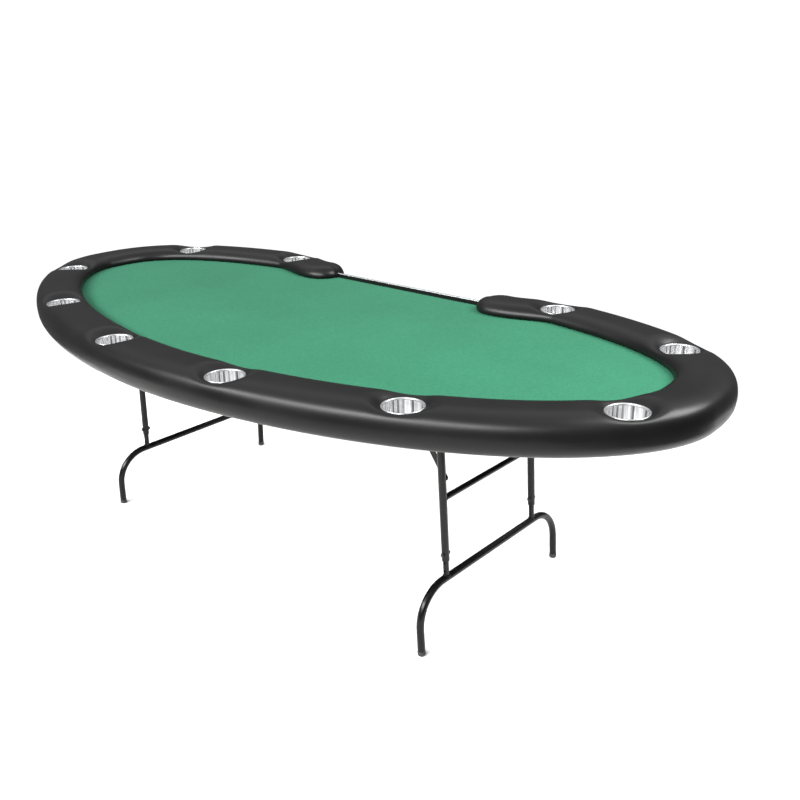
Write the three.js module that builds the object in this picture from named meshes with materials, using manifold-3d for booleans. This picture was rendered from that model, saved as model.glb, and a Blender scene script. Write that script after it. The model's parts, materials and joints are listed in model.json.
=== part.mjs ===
// A ten-seat poker table on two folding leg frames.
// Millimetres, +Z up. The origin is on the floor under the middle of the plan, +X runs along the
// table and +Y points to the dealer's side.
import * as THREE from 'three';
import { mergeVertices } from 'three/addons/utils/BufferGeometryUtils.js';
import Module from 'manifold-3d';

const wasm = await Module();
wasm.setup();

// ---- driving dimensions ----
const GAP = 0.3; // between pieces that touch

// Plan: two superellipse halves that share their ends.
const HALF_LENGTH = 1266;
const NEAR_DEPTH = 652;
const FAR_DEPTH = 557;
const NEAR_POWER = 1.86; // a little more pointed than an ellipse
const FAR_POWER = 2.6; // a little squarer than an ellipse
const PLAN_Y = 66.2; // the line where the two halves meet
const DEALER_Y = 475.9; // the straight cut at the dealer's place

// Padded rail: a C-shaped ring whose two ends hook in towards the cloth.
const RAIL_HALF_WIDTH = 75;
const RAIL_END_X = 390;
const RAIL_BOTTOM = 666;
const RAIL_TOP = 764;
const RAIL_ROLL = 42;
const HOOK_START_X = 610;
const HOOK_DEPTH = 63;

// Boards, from the bottom up.
const BASE_PANEL = { bottom: 668, thickness: 15 };
const CORE_BOARD = { bottom: 683.3, thickness: 15.31 }; // these three are glued into one
const PLAYING_PANEL = { bottom: 698.6, thickness: 18 };
const UNDERLAY = { bottom: 716.9, thickness: 4.6 };
const CLOTH = { bottom: 721.8, thickness: 0.8 };
const RAIL_BASE = { bottom: 716.59, thickness: 24.41 };
const BASE_INSET = 34; // from the rail's outer face
const PANEL_INSET = 20;
const RAIL_BASE_INSET = 12;
const CLOTH_INSET = 127; // the cloth's edge is clamped under the rail
const LOBE_EDGE_X = 363; // the dealer's cut ends here, under the rail's ends
const CLOTH_STRAIGHT_X = 480;
const CLOTH_CORNER = 30; // the cloth's straight edge starts this far in from there

// Cup holders, on the rail's middle line at these bearings from the plan's middle.
const CUP_BEARINGS = [38.4, 16.9, -8, -31.4, -66.7];
const CUP = { wall: 47.5, inner: 46.3, lip: 51.5, lipHeight: 1.8, sheet: 1.2, depth: 60, rimZ: 747 };
const CUP_HOLE = 48.3;
const CUP_DIP = 80; // the padding rises from the lip to full height at this radius
const CUP_SIDES = 16;

// Dealer's edge.
const STRIP = { thickness: 8, top: 734.5, halfLength: 330 };
const BEAD = { height: 2.4, overhang: 0.8 };

// Leg frames: distances along a leg are measured from the floor.
const LEG_Y = 44.4; // middle of both frames
const SPLAY = 0.052; // radians, feet outwards
const FOOT_X = 685.5;
const PIVOT_Z = 654;
const TUBE_R = 11;
const TUBE_BORE = 8.7;
const BAR_R = 10.5;
const INNER_R = 8;
const INNER_BORE = 6.5;
const CROSSBAR_R = 8.25;
const UPRIGHT_Y = 204;
const FOOT_Y = 321;
const BAR_T = 177.6;
const OUTER_END_T = 229;
const BOLT_T = 249;
const CROSSBAR_T = 408.5;
const INNER_TOP_T = 505;
const BEND_R = 100;
const HOLE_PITCH = 25;
const HOLES_BELOW = 2;
const HOLES_ABOVE = 6;
const BOLT_R = 3;
const HOLE_R = 3.8;
const PIVOT_HALF_LENGTH = 254;
const STRAP = { y: 220, width: 28, thickness: 2.5, clearance: 0.5, flange: 20 };
const CAP = { r: 11.3, flat: 9, rounding: 3, height: 14 };
const BOLT = { head: 5.8, headHeight: 4.5, nutHeight: 5, end: 2 };

// Folding braces.
const BRACE_T = 464.4; // lower rivet on the upright
const BRACE_RUN = 120; // from the leg's pivot to the brace's pivot
const LINK = { halfWidth: 9, thickness: 3, rivet: 3, hole: 3.4, head: 5, headHeight: 2.5 };
const WELD = 0.01; // overlap of shapes that are joined into one piece
const EAR = { thickness: 2.5, halfWidth: 12, flange: 24 };

const PIVOT_T = PIVOT_Z / Math.cos(SPLAY);
const PIVOT_X = FOOT_X - PIVOT_T * Math.sin(SPLAY);

// ---- materials ----
const paint = (colour, roughness, metalness) => ({ color: colour, roughness, metalness });
const LEATHERETTE = paint(0x2b2b2a, 0.42, 0);
const CLOTH_GREEN = paint(0x4a9e79, 0.95, 0);
const FOAM = paint(0xd8d4c4, 0.95, 0);
const PLYWOOD = paint(0xb98f5c, 0.7, 0);
const BLACK_BOARD = paint(0x1d1d1c, 0.6, 0);
const STEEL = paint(0xd4d5d6, 0.2, 1);
const ALUMINIUM = paint(0xc4c6c8, 0.3, 1);
const BLACK_PAINT = paint(0x1b1b1b, 0.35, 0.4);
const RUBBER = paint(0x141414, 0.8, 0);
const BLACK_ZINC = paint(0x2c2c2d, 0.4, 0.6);

// ---- solids and booleans ----
function toSolid(geometry) {
  const bare = geometry.index ? geometry.toNonIndexed() : geometry.clone();
  bare.deleteAttribute('normal');
  bare.deleteAttribute('uv');
  const merged = mergeVertices(bare, 1e-4);
  return new wasm.Manifold(new wasm.Mesh({
    numProp: 3,
    vertProperties: new Float32Array(merged.attributes.position.array),
    triVerts: new Uint32Array(merged.index.array),
  }));
}

function toGeometry(solid) {
  const mesh = solid.getMesh();
  const geometry = new THREE.BufferGeometry();
  geometry.setAttribute('position', new THREE.BufferAttribute(mesh.vertProperties, 3));
  geometry.setIndex(new THREE.BufferAttribute(mesh.triVerts, 1));
  geometry.computeVertexNormals();
  return geometry;
}

function cut(geometry, cutters) {
  const body = cutters.reduce((rest, cutter) => rest.subtract(toSolid(cutter)), toSolid(geometry));
  return toGeometry(body);
}

// An outline [[x, y], ...] raised from z = bottom by a height.
function slab(outline, bottom, height, holes = []) {
  const shape = new THREE.Shape(outline.map(([x, y]) => new THREE.Vector2(x, y)));
  for (const hole of holes) {
    shape.holes.push(new THREE.Path(hole.map(([x, y]) => new THREE.Vector2(x, y))));
  }
  return new THREE.ExtrudeGeometry(shape, { depth: height, bevelEnabled: false }).translate(0, 0, bottom);
}

const rectangle = (x0, x1, y0, y1) => [[x0, y0], [x1, y0], [x1, y1], [x0, y1]];

// A solid of revolution about a vertical axis through (x, y).
function turned(profile, sides, x = 0, y = 0, z = 0) {
  const points = profile.map(([radius, height]) => new THREE.Vector2(radius, height));
  return new THREE.LatheGeometry(points, sides).rotateX(Math.PI / 2).translate(x, y, z);
}

// ---- plan of the rail ----
const power = (value, exponent) => Math.sign(value) * Math.abs(value) ** exponent;

// A point of the outer line, moved in by an inset along the line's own normal.
function planPoint(angle, inset) {
  const far = Math.sin(angle) > 0;
  const n = far ? FAR_POWER : NEAR_POWER;
  const depth = far ? FAR_DEPTH : NEAR_DEPTH;
  const c = Math.cos(angle);
  const s = Math.sin(angle);
  const normal = new THREE.Vector2(power(c, 2 - 2 / n) / HALF_LENGTH, power(s, 2 - 2 / n) / depth);
  normal.normalize();
  const x = HALF_LENGTH * power(c, 2 / n) - inset * normal.x;
  const y = depth * power(s, 2 / n) - inset * normal.y;
  return new THREE.Vector2(x, y + PLAN_Y);
}

// The angle in a range at which a rising function of the angle reaches zero.
function solve(test, low, high) {
  for (let step = 0; step < 50; step += 1) {
    const middle = (low + high) / 2;
    if (test(middle) < 0) {
      low = middle;
    } else {
      high = middle;
    }
  }
  return (low + high) / 2;
}

// How far the rail's middle line swings in towards the cloth at x, eased at both ends.
function hook(x) {
  const share = (HOOK_START_X - Math.abs(x)) / (HOOK_START_X - RAIL_END_X);
  const across = Math.min(Math.max(share, 0), 1);
  return HOOK_DEPTH * across * across * (3 - 2 * across);
}

// The rail's middle line, from the right end clockwise round the near side to the left end.
const RAIL_STEPS = 58;
const END_SIDES = 6;
const END_ANGLE = solve((angle) => RAIL_END_X - planPoint(angle, RAIL_HALF_WIDTH).x, 0.2, 1.5);
const FINE_STEPS = 3000;
const fineLine = [];
for (let i = 0; i <= FINE_STEPS; i += 1) {
  const angle = END_ANGLE - (i / FINE_STEPS) * (Math.PI + 2 * END_ANGLE);
  const point = planPoint(angle, RAIL_HALF_WIDTH);
  if (Math.sin(angle) > 0) point.y -= hook(point.x);
  fineLine.push(point);
}

// A line of points walked again in equal steps.
function evenly(points, steps) {
  const lengths = [0];
  for (let i = 1; i < points.length; i += 1) {
    lengths.push(lengths[i - 1] + points[i].distanceTo(points[i - 1]));
  }
  const total = lengths[points.length - 1];
  const walked = [];
  let i = 0;
  for (let step = 0; step <= steps; step += 1) {
    const wanted = (total * step) / steps;
    while (i < points.length - 2 && lengths[i + 1] < wanted) i += 1;
    const share = (wanted - lengths[i]) / (lengths[i + 1] - lengths[i]);
    walked.push(points[i].clone().lerp(points[i + 1], Math.min(share, 1)));
  }
  return walked;
}
const middleLine = evenly(fineLine, RAIL_STEPS);

// The line that runs beside the middle line, positive outwards.
function besideMiddle(offset) {
  return middleLine.map((point, i) => {
    const before = middleLine[Math.max(i - 1, 0)];
    const after = middleLine[Math.min(i + 1, RAIL_STEPS)];
    const tangent = after.clone().sub(before).normalize();
    return [point.x - tangent.y * offset, point.y + tangent.x * offset];
  });
}

// Half a circle clockwise round one end of the rail; next is the middle line's second point.
function endArc(centre, next, radius) {
  const away = Math.atan2(centre.y - next.y, centre.x - next.x);
  const points = [];
  for (let i = 1; i < END_SIDES; i += 1) {
    const angle = away + Math.PI * (0.5 - i / END_SIDES);
    points.push([centre.x + radius * Math.cos(angle), centre.y + radius * Math.sin(angle)]);
  }
  return points;
}

// The C-shaped outline whose edge lies a half width away from the middle line.
function ringOutline(halfWidth) {
  const outer = besideMiddle(halfWidth);
  const inner = besideMiddle(-halfWidth).reverse();
  const rightEnd = endArc(middleLine[0], middleLine[1], halfWidth);
  const leftEnd = endArc(middleLine[RAIL_STEPS], middleLine[RAIL_STEPS - 1], halfWidth);
  return [...outer, ...leftEnd, ...inner, ...rightEnd];
}

// The boards' outline: the rail's line moved in, with the straight cut at the dealer's place.
function panelOutline(inset) {
  const side = besideMiddle(RAIL_HALF_WIDTH - inset);
  const corner = side[0][1];
  return [
    ...side,
    [-LOBE_EDGE_X, corner],
    [-LOBE_EDGE_X, DEALER_Y],
    [LOBE_EDGE_X, DEALER_Y],
    [LOBE_EDGE_X, corner],
  ];
}

const CLOTH_STEPS = 36;

// The cloth's outline: inside the rail it runs straight on under the two hooked ends.
function clothOutline(inset) {
  const points = [];
  const start = solve((angle) => CLOTH_STRAIGHT_X - planPoint(angle, inset).x, 0.2, 1.5);
  const straightY = DEALER_Y - GAP;
  const cornerX = CLOTH_STRAIGHT_X - CLOTH_CORNER;
  for (let i = 0; i <= CLOTH_STEPS; i += 1) {
    const point = planPoint(start - (i / CLOTH_STEPS) * (Math.PI + 2 * start), inset);
    points.push([point.x, Math.min(point.y, straightY)]);
  }
  points.push([-cornerX, straightY], [cornerX, straightY]);
  return points;
}

// ---- cup places ----

// Cups and rail sections are numbered on each side, from the dealer's place round to the near side.
function cupName(index) {
  const side = index < CUP_BEARINGS.length ? 'right' : 'left';
  return `${side}_${(index % CUP_BEARINGS.length) + 1}`;
}
const cupPlaces = [];
for (const side of [1, -1]) {
  for (const bearing of CUP_BEARINGS) {
    const wanted = THREE.MathUtils.degToRad(bearing);
    const bearingOf = (angle) => {
      const point = planPoint(angle, RAIL_HALF_WIDTH);
      return Math.atan2(point.y - PLAN_Y, point.x) - wanted;
    };
    const point = planPoint(solve(bearingOf, -1.5, 1.5), RAIL_HALF_WIDTH);
    cupPlaces.push([side * point.x, point.y - (bearing > 0 ? hook(point.x) : 0)]);
  }
}

// A plug at each cup place that cuts the cup's hole right through a board.
function cupHoles({ bottom, thickness }) {
  const low = bottom - 1;
  const high = bottom + thickness + 1;
  const profile = [[0, low], [CUP_HOLE, low], [CUP_HOLE, high], [0, high]];
  return cupPlaces.map(([x, y]) => turned(profile, CUP_SIDES, x, y));
}

// ---- the table top ----
const table = new THREE.Group();

function add(name, geometry, finish, parent = table) {
  const mesh = new THREE.Mesh(geometry, new THREE.MeshStandardMaterial(finish));
  mesh.name = name;
  parent.add(mesh);
  return mesh;
}

function board(outline, { bottom, thickness }, holes) {
  return slab(outline, bottom, thickness, holes);
}

add('base_panel', board(panelOutline(BASE_INSET), BASE_PANEL), BLACK_BOARD);
add('cloth_underlay', board(clothOutline(CLOTH_INSET), UNDERLAY), FOAM);
add('playing_cloth', board(clothOutline(CLOTH_INSET), CLOTH), CLOTH_GREEN);

// Rooms cut from the rail for what lies in it.
const BELOW = RAIL_BOTTOM - 20; // clear of everything
const clothTop = CLOTH.bottom + CLOTH.thickness;
const clothRoom = slab(clothOutline(CLOTH_INSET - GAP), BELOW, clothTop + GAP - BELOW);
const stripRoomTop = STRIP.top + BEAD.height + 2 * GAP;
const stripRoom = new THREE.BoxGeometry(
  2 * (STRIP.halfLength + GAP), STRIP.thickness + 4 * GAP, stripRoomTop - BELOW);
stripRoom.translate(0, DEALER_Y + GAP + STRIP.thickness / 2, (stripRoomTop + BELOW) / 2);

// The playing panel, with the core frame glued under it and the rail's base ring glued on top.
const windows = [
  rectangle(-500, 500, -330, 400),
  rectangle(-930, -720, -180, 300),
  rectangle(720, 930, -180, 300),
];
const coreFrame = board(clothOutline(CLOTH_INSET), CORE_BOARD, windows);
const panel = cut(board(panelOutline(PANEL_INSET), PLAYING_PANEL), cupHoles(PLAYING_PANEL));
const railBase = board(ringOutline(RAIL_HALF_WIDTH - RAIL_BASE_INSET), RAIL_BASE);
const railBaseRing = cut(railBase, [clothRoom, stripRoom, ...cupHoles(RAIL_BASE)]);
const panelStack = toSolid(coreFrame).add(toSolid(panel)).add(toSolid(railBaseRing));
add('playing_panel', toGeometry(panelStack), PLYWOOD);

// The padding: a rolled ring, hollowed where the boards go, with a dip round each cup.
function rolledRing() {
  const outline = ringOutline(RAIL_HALF_WIDTH).map(([x, y]) => new THREE.Vector2(x, y));
  return new THREE.ExtrudeGeometry(new THREE.Shape(outline), {
    depth: RAIL_TOP - RAIL_BOTTOM - 2 * RAIL_ROLL,
    bevelThickness: RAIL_ROLL,
    bevelSize: RAIL_ROLL,
    bevelOffset: -RAIL_ROLL,
    bevelSegments: 2,
  }).translate(0, 0, RAIL_BOTTOM + RAIL_ROLL);
}
const baseRoom = slab(panelOutline(BASE_INSET - GAP), BELOW, RAIL_BASE.bottom - BELOW);
const panelRoomBottom = PLAYING_PANEL.bottom - GAP;
const panelRoom = slab(
  panelOutline(PANEL_INSET - GAP), panelRoomBottom, RAIL_BASE.bottom - panelRoomBottom);
const railBaseRoom = slab(
  ringOutline(RAIL_HALF_WIDTH - RAIL_BASE_INSET + GAP), RAIL_BASE.bottom - 1, RAIL_BASE.thickness + 1 + GAP);
const lipZ = CUP.rimZ - CUP.lipHeight - GAP;
const cupFloor = CUP.rimZ - CUP.depth - GAP;
const dipTop = RAIL_TOP + 2;
const dipProfile = [
  [0, cupFloor], [CUP_HOLE, cupFloor], [CUP_HOLE, lipZ], [CUP.lip + 1, lipZ], [CUP_DIP, dipTop], [0, dipTop],
];
const dips = cupPlaces.map(([x, y]) => turned(dipProfile, CUP_SIDES, x, y));
const rooms = [baseRoom, panelRoom, clothRoom, railBaseRoom, stripRoom, ...dips];

// The padding comes in one section for each cup, parted midway between neighbouring cups.
function partings() {
  const places = cupPlaces.map(([x, y]) => {
    const cup = new THREE.Vector2(x, y);
    const distances = fineLine.map((point) => point.distanceTo(cup));
    return distances.indexOf(Math.min(...distances));
  }).sort((a, b) => a - b);
  const stations = [];
  for (let i = 1; i < places.length; i += 1) {
    stations.push(Math.round((places[i - 1] + places[i]) / 2));
  }
  return stations.map((station) => {
    const point = fineLine[station];
    const next = fineLine[station + 1];
    const blade = new THREE.BoxGeometry(GAP, 4 * RAIL_HALF_WIDTH, 2 * (RAIL_TOP - BELOW));
    blade.rotateZ(Math.atan2(next.y - point.y, next.x - point.x));
    return blade.translate(point.x, point.y, RAIL_TOP);
  });
}
const padding = toSolid(cut(rolledRing(), [...rooms, ...partings()]));
for (const section of padding.decompose()) {
  const box = section.boundingBox();
  const inside = ([x, y]) => x > box.min[0] && x < box.max[0] && y > box.min[1] && y < box.max[1];
  const index = cupPlaces.findIndex(inside);
  add(`padded_rail_${cupName(index)}`, toGeometry(section), LEATHERETTE);
}

// ---- cup holders ----
const underLip = CUP.depth - CUP.lipHeight;
const CUP_CORNER = 2.5;
const cupProfile = [
  [0, 0], [CUP.wall - CUP_CORNER, 0], [CUP.wall, CUP_CORNER], [CUP.wall, underLip], [CUP.lip, underLip],
  [CUP.lip, CUP.depth], [CUP.inner, CUP.depth], [CUP.inner, CUP_CORNER + CUP.sheet],
  [CUP.inner - CUP_CORNER, CUP.sheet], [0, CUP.sheet],
];
cupPlaces.forEach(([x, y], index) => {
  add(`cup_holder_${cupName(index)}`, turned(cupProfile, CUP_SIDES, x, y, CUP.rimZ - CUP.depth), STEEL);
});

// ---- dealer's edge ----
const stripHeight = STRIP.top - BASE_PANEL.bottom;
const strip = new THREE.BoxGeometry(2 * STRIP.halfLength, STRIP.thickness, stripHeight);
strip.translate(0, DEALER_Y + GAP + STRIP.thickness / 2, BASE_PANEL.bottom + stripHeight / 2);
add('dealer_edge_strip', strip, BLACK_PAINT);
const bead = new THREE.BoxGeometry(2 * STRIP.halfLength, STRIP.thickness + BEAD.overhang, BEAD.height);
bead.translate(0, DEALER_Y + GAP + STRIP.thickness / 2, STRIP.top + GAP + BEAD.height / 2);
add('dealer_edge_bead', bead, ALUMINIUM);

// ---- leg parts, in a frame whose origin is the pivot and whose -Z runs down the leg ----
const TUBE_SIDES = 10;
const HEX = 6;
const along = (t) => t - PIVOT_T;

// The closed half section of a tube, or of a rod when the bore is 0.
function tubeProfile(radius, bore, low, high) {
  const profile = [[bore, low], [radius, low], [radius, high], [bore, high]];
  return bore > 0 ? [...profile, [bore, low]] : profile;
}

// A tube up the leg between two heights, at a sideways place y.
function upright(radius, bore, low, high, y) {
  return turned(tubeProfile(radius, bore, along(low), along(high)), TUBE_SIDES, 0, y);
}

// A rod or a tube along Y.
function crossways(radius, bore, y0, y1, z, sides = TUBE_SIDES) {
  const points = tubeProfile(radius, bore, y0, y1).map(([r, h]) => new THREE.Vector2(r, h));
  return new THREE.LatheGeometry(points, sides).translate(0, 0, z);
}

// A hexagon-headed bolt, tight through the tube at y, its head on the -Y side and its nut on the +Y side.
function heightBolt(y, z) {
  const reach = TUBE_R * Math.cos(Math.PI / TUBE_SIDES) - WELD;
  const shank = crossways(BOLT_R, 0, y - reach - 1, y + reach + BOLT.nutHeight + BOLT.end, z);
  const head = crossways(BOLT.head, 0, y - reach - BOLT.headHeight, y - reach, z, HEX);
  const nut = crossways(BOLT.head, 0, y + reach, y + reach + BOLT.nutHeight, z, HEX);
  return toGeometry(toSolid(shank).add(toSolid(head)).add(toSolid(nut)));
}

// The lower bar: level between the uprights, its two ends bent down into the feet.
function footBar() {
  const foot = along(CAP.height + GAP);
  const shoulder = along(BAR_T - BEND_R);
  const level = along(BAR_T);
  const handle = BEND_R * 0.5523;
  const bend = FOOT_Y - BEND_R;
  const at = (y, z) => new THREE.Vector3(0, y, z);
  const path = new THREE.CurvePath();
  path.add(new THREE.LineCurve3(at(-FOOT_Y, foot), at(-FOOT_Y, shoulder)));
  path.add(new THREE.CubicBezierCurve3(
    at(-FOOT_Y, shoulder), at(-FOOT_Y, shoulder + handle), at(-bend - handle, level), at(-bend, level)));
  path.add(new THREE.LineCurve3(at(-bend, level), at(bend, level)));
  path.add(new THREE.CubicBezierCurve3(
    at(bend, level), at(bend + handle, level), at(FOOT_Y, shoulder + handle), at(FOOT_Y, shoulder)));
  path.add(new THREE.LineCurve3(at(FOOT_Y, shoulder), at(FOOT_Y, foot)));
  const section = new THREE.Shape();
  section.absarc(0, 0, BAR_R, 0, 2 * Math.PI);
  return new THREE.ExtrudeGeometry(section, { steps: 32, extrudePath: path, curveSegments: 5 });
}

// A plug under each foot, rounded below and cut off level with the floor.
function footCap(side, y) {
  const profile = [
    [0, -1], [CAP.flat, -1], [CAP.r, CAP.rounding], [CAP.r, CAP.height], [0, CAP.height],
  ];
  const cap = turned(profile.map(([r, t]) => [r, along(t)]), TUBE_SIDES, 0, y);
  cap.rotateY(-side * SPLAY).translate(side * PIVOT_X, LEG_Y, PIVOT_Z);
  const depth = 4 * CAP.r;
  const ground = new THREE.BoxGeometry(depth, depth, depth);
  ground.translate(side * FOOT_X, LEG_Y + y, -depth / 2);
  return cut(cap, [ground]);
}

// A strap that holds the pivot tube up against the base panel.
function pivotStrap() {
  const inner = TUBE_R + STRAP.clearance;
  const outer = inner + STRAP.thickness;
  const top = BASE_PANEL.bottom - GAP - PIVOT_Z;
  const plate = top - STRAP.thickness;
  const reach = outer + STRAP.flange;
  const shape = new THREE.Shape();
  shape.moveTo(-reach, top);
  shape.lineTo(-reach, plate);
  shape.lineTo(-outer, plate);
  shape.lineTo(-outer, 0);
  shape.absarc(0, 0, outer, Math.PI, 2 * Math.PI);
  shape.lineTo(outer, plate);
  shape.lineTo(reach, plate);
  shape.lineTo(reach, top);
  shape.lineTo(inner, top);
  shape.lineTo(inner, 0);
  shape.absarc(0, 0, inner, 2 * Math.PI, Math.PI, true);
  shape.lineTo(-inner, top);
  const strap = new THREE.ExtrudeGeometry(
    shape, { depth: STRAP.width, bevelEnabled: false, curveSegments: 10 });
  return strap.rotateX(Math.PI / 2).translate(0, STRAP.width, 0);
}

// A flat brace link from (0, 0) to (length, 0) in the XZ plane, its near face at y = 0.
function link(length, holes) {
  const shape = new THREE.Shape();
  shape.absarc(0, 0, LINK.halfWidth, Math.PI / 2, 1.5 * Math.PI);
  shape.absarc(length, 0, LINK.halfWidth, -Math.PI / 2, Math.PI / 2);
  for (const x of holes) {
    shape.holes.push(new THREE.Path().absarc(x, 0, LINK.hole, 0, 2 * Math.PI, true));
  }
  const plate = new THREE.ExtrudeGeometry(
    shape, { depth: LINK.thickness, bevelEnabled: false, curveSegments: 5 });
  return plate.rotateX(Math.PI / 2).translate(0, LINK.thickness, 0);
}

// ---- both leg frames ----
const braceLow = new THREE.Vector2(
  PIVOT_X + (PIVOT_T - BRACE_T) * Math.sin(SPLAY), PIVOT_Z - (PIVOT_T - BRACE_T) * Math.cos(SPLAY));
const braceHigh = new THREE.Vector2(PIVOT_X - BRACE_RUN, PIVOT_Z);
const braceLength = braceLow.distanceTo(braceHigh);
const foldedGap = PIVOT_T - BRACE_T - BRACE_RUN; // between the two rivets when the leg lies flat
const lowerLink = (braceLength + foldedGap) / 2;
const upperLink = (braceLength - foldedGap) / 2;
const braceSlope = Math.atan2(braceHigh.y - braceLow.y, braceLow.x - braceHigh.x);

// Layers of the brace, measured in from the upright: lower link, upper link, then the bracket's ear.
const lowerFace = TUBE_R + GAP;
const upperFace = lowerFace + LINK.thickness + GAP;
const earFace = upperFace + LINK.thickness + GAP;

// Turns a shape that starts at y = 0 into the layer at a depth on the inner side of an upright.
function layer(geometry, hand, face, depth) {
  return geometry.translate(0, hand > 0 ? -face - depth : face, 0);
}

// The lower link with its rivet at the upright, the upper link, each drawn along +X.
function lowerPlate(hand) {
  const plate = layer(link(lowerLink, []), hand, lowerFace, LINK.thickness);
  const rivet = crossways(LINK.head, 0, 0, LINK.headHeight, 0);
  layer(rivet, hand, lowerFace + LINK.thickness - WELD, LINK.headHeight);
  return toGeometry(toSolid(plate).add(toSolid(rivet)));
}

const upperPlate = (hand) => layer(link(upperLink, [0]), hand, upperFace, LINK.thickness);

// The bracket that carries the upper link: an ear with a pin, and a flange under the base panel.
function braceBracket(hand) {
  const top = BASE_PANEL.bottom - GAP - PIVOT_Z;
  const ear = new THREE.BoxGeometry(2 * EAR.halfWidth, EAR.thickness, top + EAR.halfWidth);
  ear.translate(0, EAR.thickness / 2, (top - EAR.halfWidth) / 2);
  const flange = new THREE.BoxGeometry(2 * EAR.halfWidth, EAR.flange, EAR.thickness);
  flange.translate(0, EAR.flange / 2, top - EAR.thickness / 2);
  const pinLength = LINK.thickness + GAP + 1;
  const pin = crossways(LINK.rivet, 0, 0, pinLength, 0);
  const solid = toSolid(layer(ear, hand, earFace, EAR.thickness))
    .add(toSolid(layer(flange, hand, earFace, EAR.flange)))
    .add(toSolid(layer(pin, hand, upperFace, pinLength)));
  return toGeometry(solid);
}

for (const [side, name] of [[1, 'right'], [-1, 'left']]) {
  const leg = new THREE.Group();
  leg.position.set(side * PIVOT_X, LEG_Y, PIVOT_Z);
  leg.rotation.y = -side * SPLAY;
  table.add(leg);

  const pivot = crossways(TUBE_R, TUBE_BORE, -PIVOT_HALF_LENGTH, PIVOT_HALF_LENGTH, 0);
  add(`${name}_pivot_tube`, pivot, BLACK_PAINT, leg);
  const crossbarEnd = UPRIGHT_Y - TUBE_R - GAP;
  const crossbar = crossways(CROSSBAR_R, 0, -crossbarEnd, crossbarEnd, along(CROSSBAR_T));
  add(`${name}_crossbar`, crossbar, BLACK_PAINT, leg);
  add(`${name}_foot_bar`, footBar(), BLACK_PAINT, leg);

  for (const [hand, place] of [[-1, 'near'], [1, 'far']]) {
    const prefix = `${name}_${place}`;
    const y = hand * UPRIGHT_Y;
    const boltZ = along(BOLT_T);
    const hole = (z) => crossways(HOLE_R, 0, y - 2 * TUBE_R, y + 2 * TUBE_R, z, HEX);
    const outer = cut(upright(TUBE_R, TUBE_BORE, OUTER_END_T, PIVOT_T - TUBE_R - GAP, y), [hole(boltZ)]);
    const bolted = toSolid(outer).add(toSolid(heightBolt(y, boltZ)));
    add(`${prefix}_outer_tube`, toGeometry(bolted), BLACK_PAINT, leg);
    const inner = upright(INNER_R, INNER_BORE, BAR_T + BAR_R + GAP, INNER_TOP_T, y);
    const holes = [];
    for (let i = -HOLES_BELOW; i <= HOLES_ABOVE; i += 1) {
      holes.push(hole(boltZ + i * HOLE_PITCH));
    }
    add(`${prefix}_inner_tube`, cut(inner, holes), BLACK_PAINT, leg);
    add(`${prefix}_foot_cap`, footCap(side, hand * FOOT_Y), RUBBER);

    const strapY = hand > 0 ? STRAP.y : -STRAP.y - STRAP.width;
    const strap = pivotStrap().translate(side * PIVOT_X, LEG_Y + strapY, PIVOT_Z);
    add(`${prefix}_pivot_strap`, strap, BLACK_ZINC);

    // The lower link turns to point up the brace and the upper one to point down it.
    for (const [part, plate, from, turn] of [
      ['lower', lowerPlate(hand), braceLow, Math.PI - braceSlope],
      ['upper', upperPlate(hand), braceHigh, -braceSlope],
    ]) {
      plate.rotateY(side > 0 ? -turn : turn - Math.PI);
      plate.translate(side * from.x, LEG_Y + y, from.y);
      add(`${prefix}_brace_${part}_link`, plate, BLACK_PAINT);
    }
    const bracket = braceBracket(hand).translate(side * braceHigh.x, LEG_Y + y, PIVOT_Z);
    add(`${prefix}_brace_bracket`, bracket, BLACK_ZINC);
  }
}

export default table;
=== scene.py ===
# %% [markdown]
# # A ten-seat poker table, built in Blender
# The real table is an oval top with a green cloth, a black padded rail that is open at the dealer's
# place, ten steel cup holders dropped into the rail, and two folding leg frames of bent steel tube.
# The solid parts are already modelled and packed as a fixed frame with joints. This script loads
# that frame and gives every visible part its finished shape and its material.

# %% Load the frame
import json
import math

import bmesh
import bpy
from mathutils import Matrix, Vector


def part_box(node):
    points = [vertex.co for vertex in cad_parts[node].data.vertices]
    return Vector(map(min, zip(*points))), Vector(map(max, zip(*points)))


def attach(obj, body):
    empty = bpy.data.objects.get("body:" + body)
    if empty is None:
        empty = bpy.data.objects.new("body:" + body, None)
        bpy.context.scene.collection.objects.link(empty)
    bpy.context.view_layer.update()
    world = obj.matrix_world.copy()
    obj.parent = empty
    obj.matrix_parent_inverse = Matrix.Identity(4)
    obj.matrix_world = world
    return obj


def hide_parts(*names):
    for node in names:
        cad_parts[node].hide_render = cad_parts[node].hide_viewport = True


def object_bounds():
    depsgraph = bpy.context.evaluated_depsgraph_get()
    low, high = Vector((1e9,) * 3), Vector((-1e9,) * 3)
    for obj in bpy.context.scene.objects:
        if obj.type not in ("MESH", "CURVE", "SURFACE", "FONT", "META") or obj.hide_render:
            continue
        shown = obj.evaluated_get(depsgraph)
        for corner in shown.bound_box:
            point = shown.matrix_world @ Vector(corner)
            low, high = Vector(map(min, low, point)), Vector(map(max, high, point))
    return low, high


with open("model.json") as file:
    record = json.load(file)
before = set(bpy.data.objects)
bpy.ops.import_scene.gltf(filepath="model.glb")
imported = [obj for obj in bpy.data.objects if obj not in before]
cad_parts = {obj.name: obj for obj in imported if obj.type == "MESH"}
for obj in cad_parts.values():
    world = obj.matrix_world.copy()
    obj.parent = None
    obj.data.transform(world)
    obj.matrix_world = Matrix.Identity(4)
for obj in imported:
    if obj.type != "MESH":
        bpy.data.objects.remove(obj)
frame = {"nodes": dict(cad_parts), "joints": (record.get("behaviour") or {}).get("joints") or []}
solid_low, solid_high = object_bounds()
MM = 0.001
print("solid box", [round(v, 4) for v in (*solid_low, *solid_high)])

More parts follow.
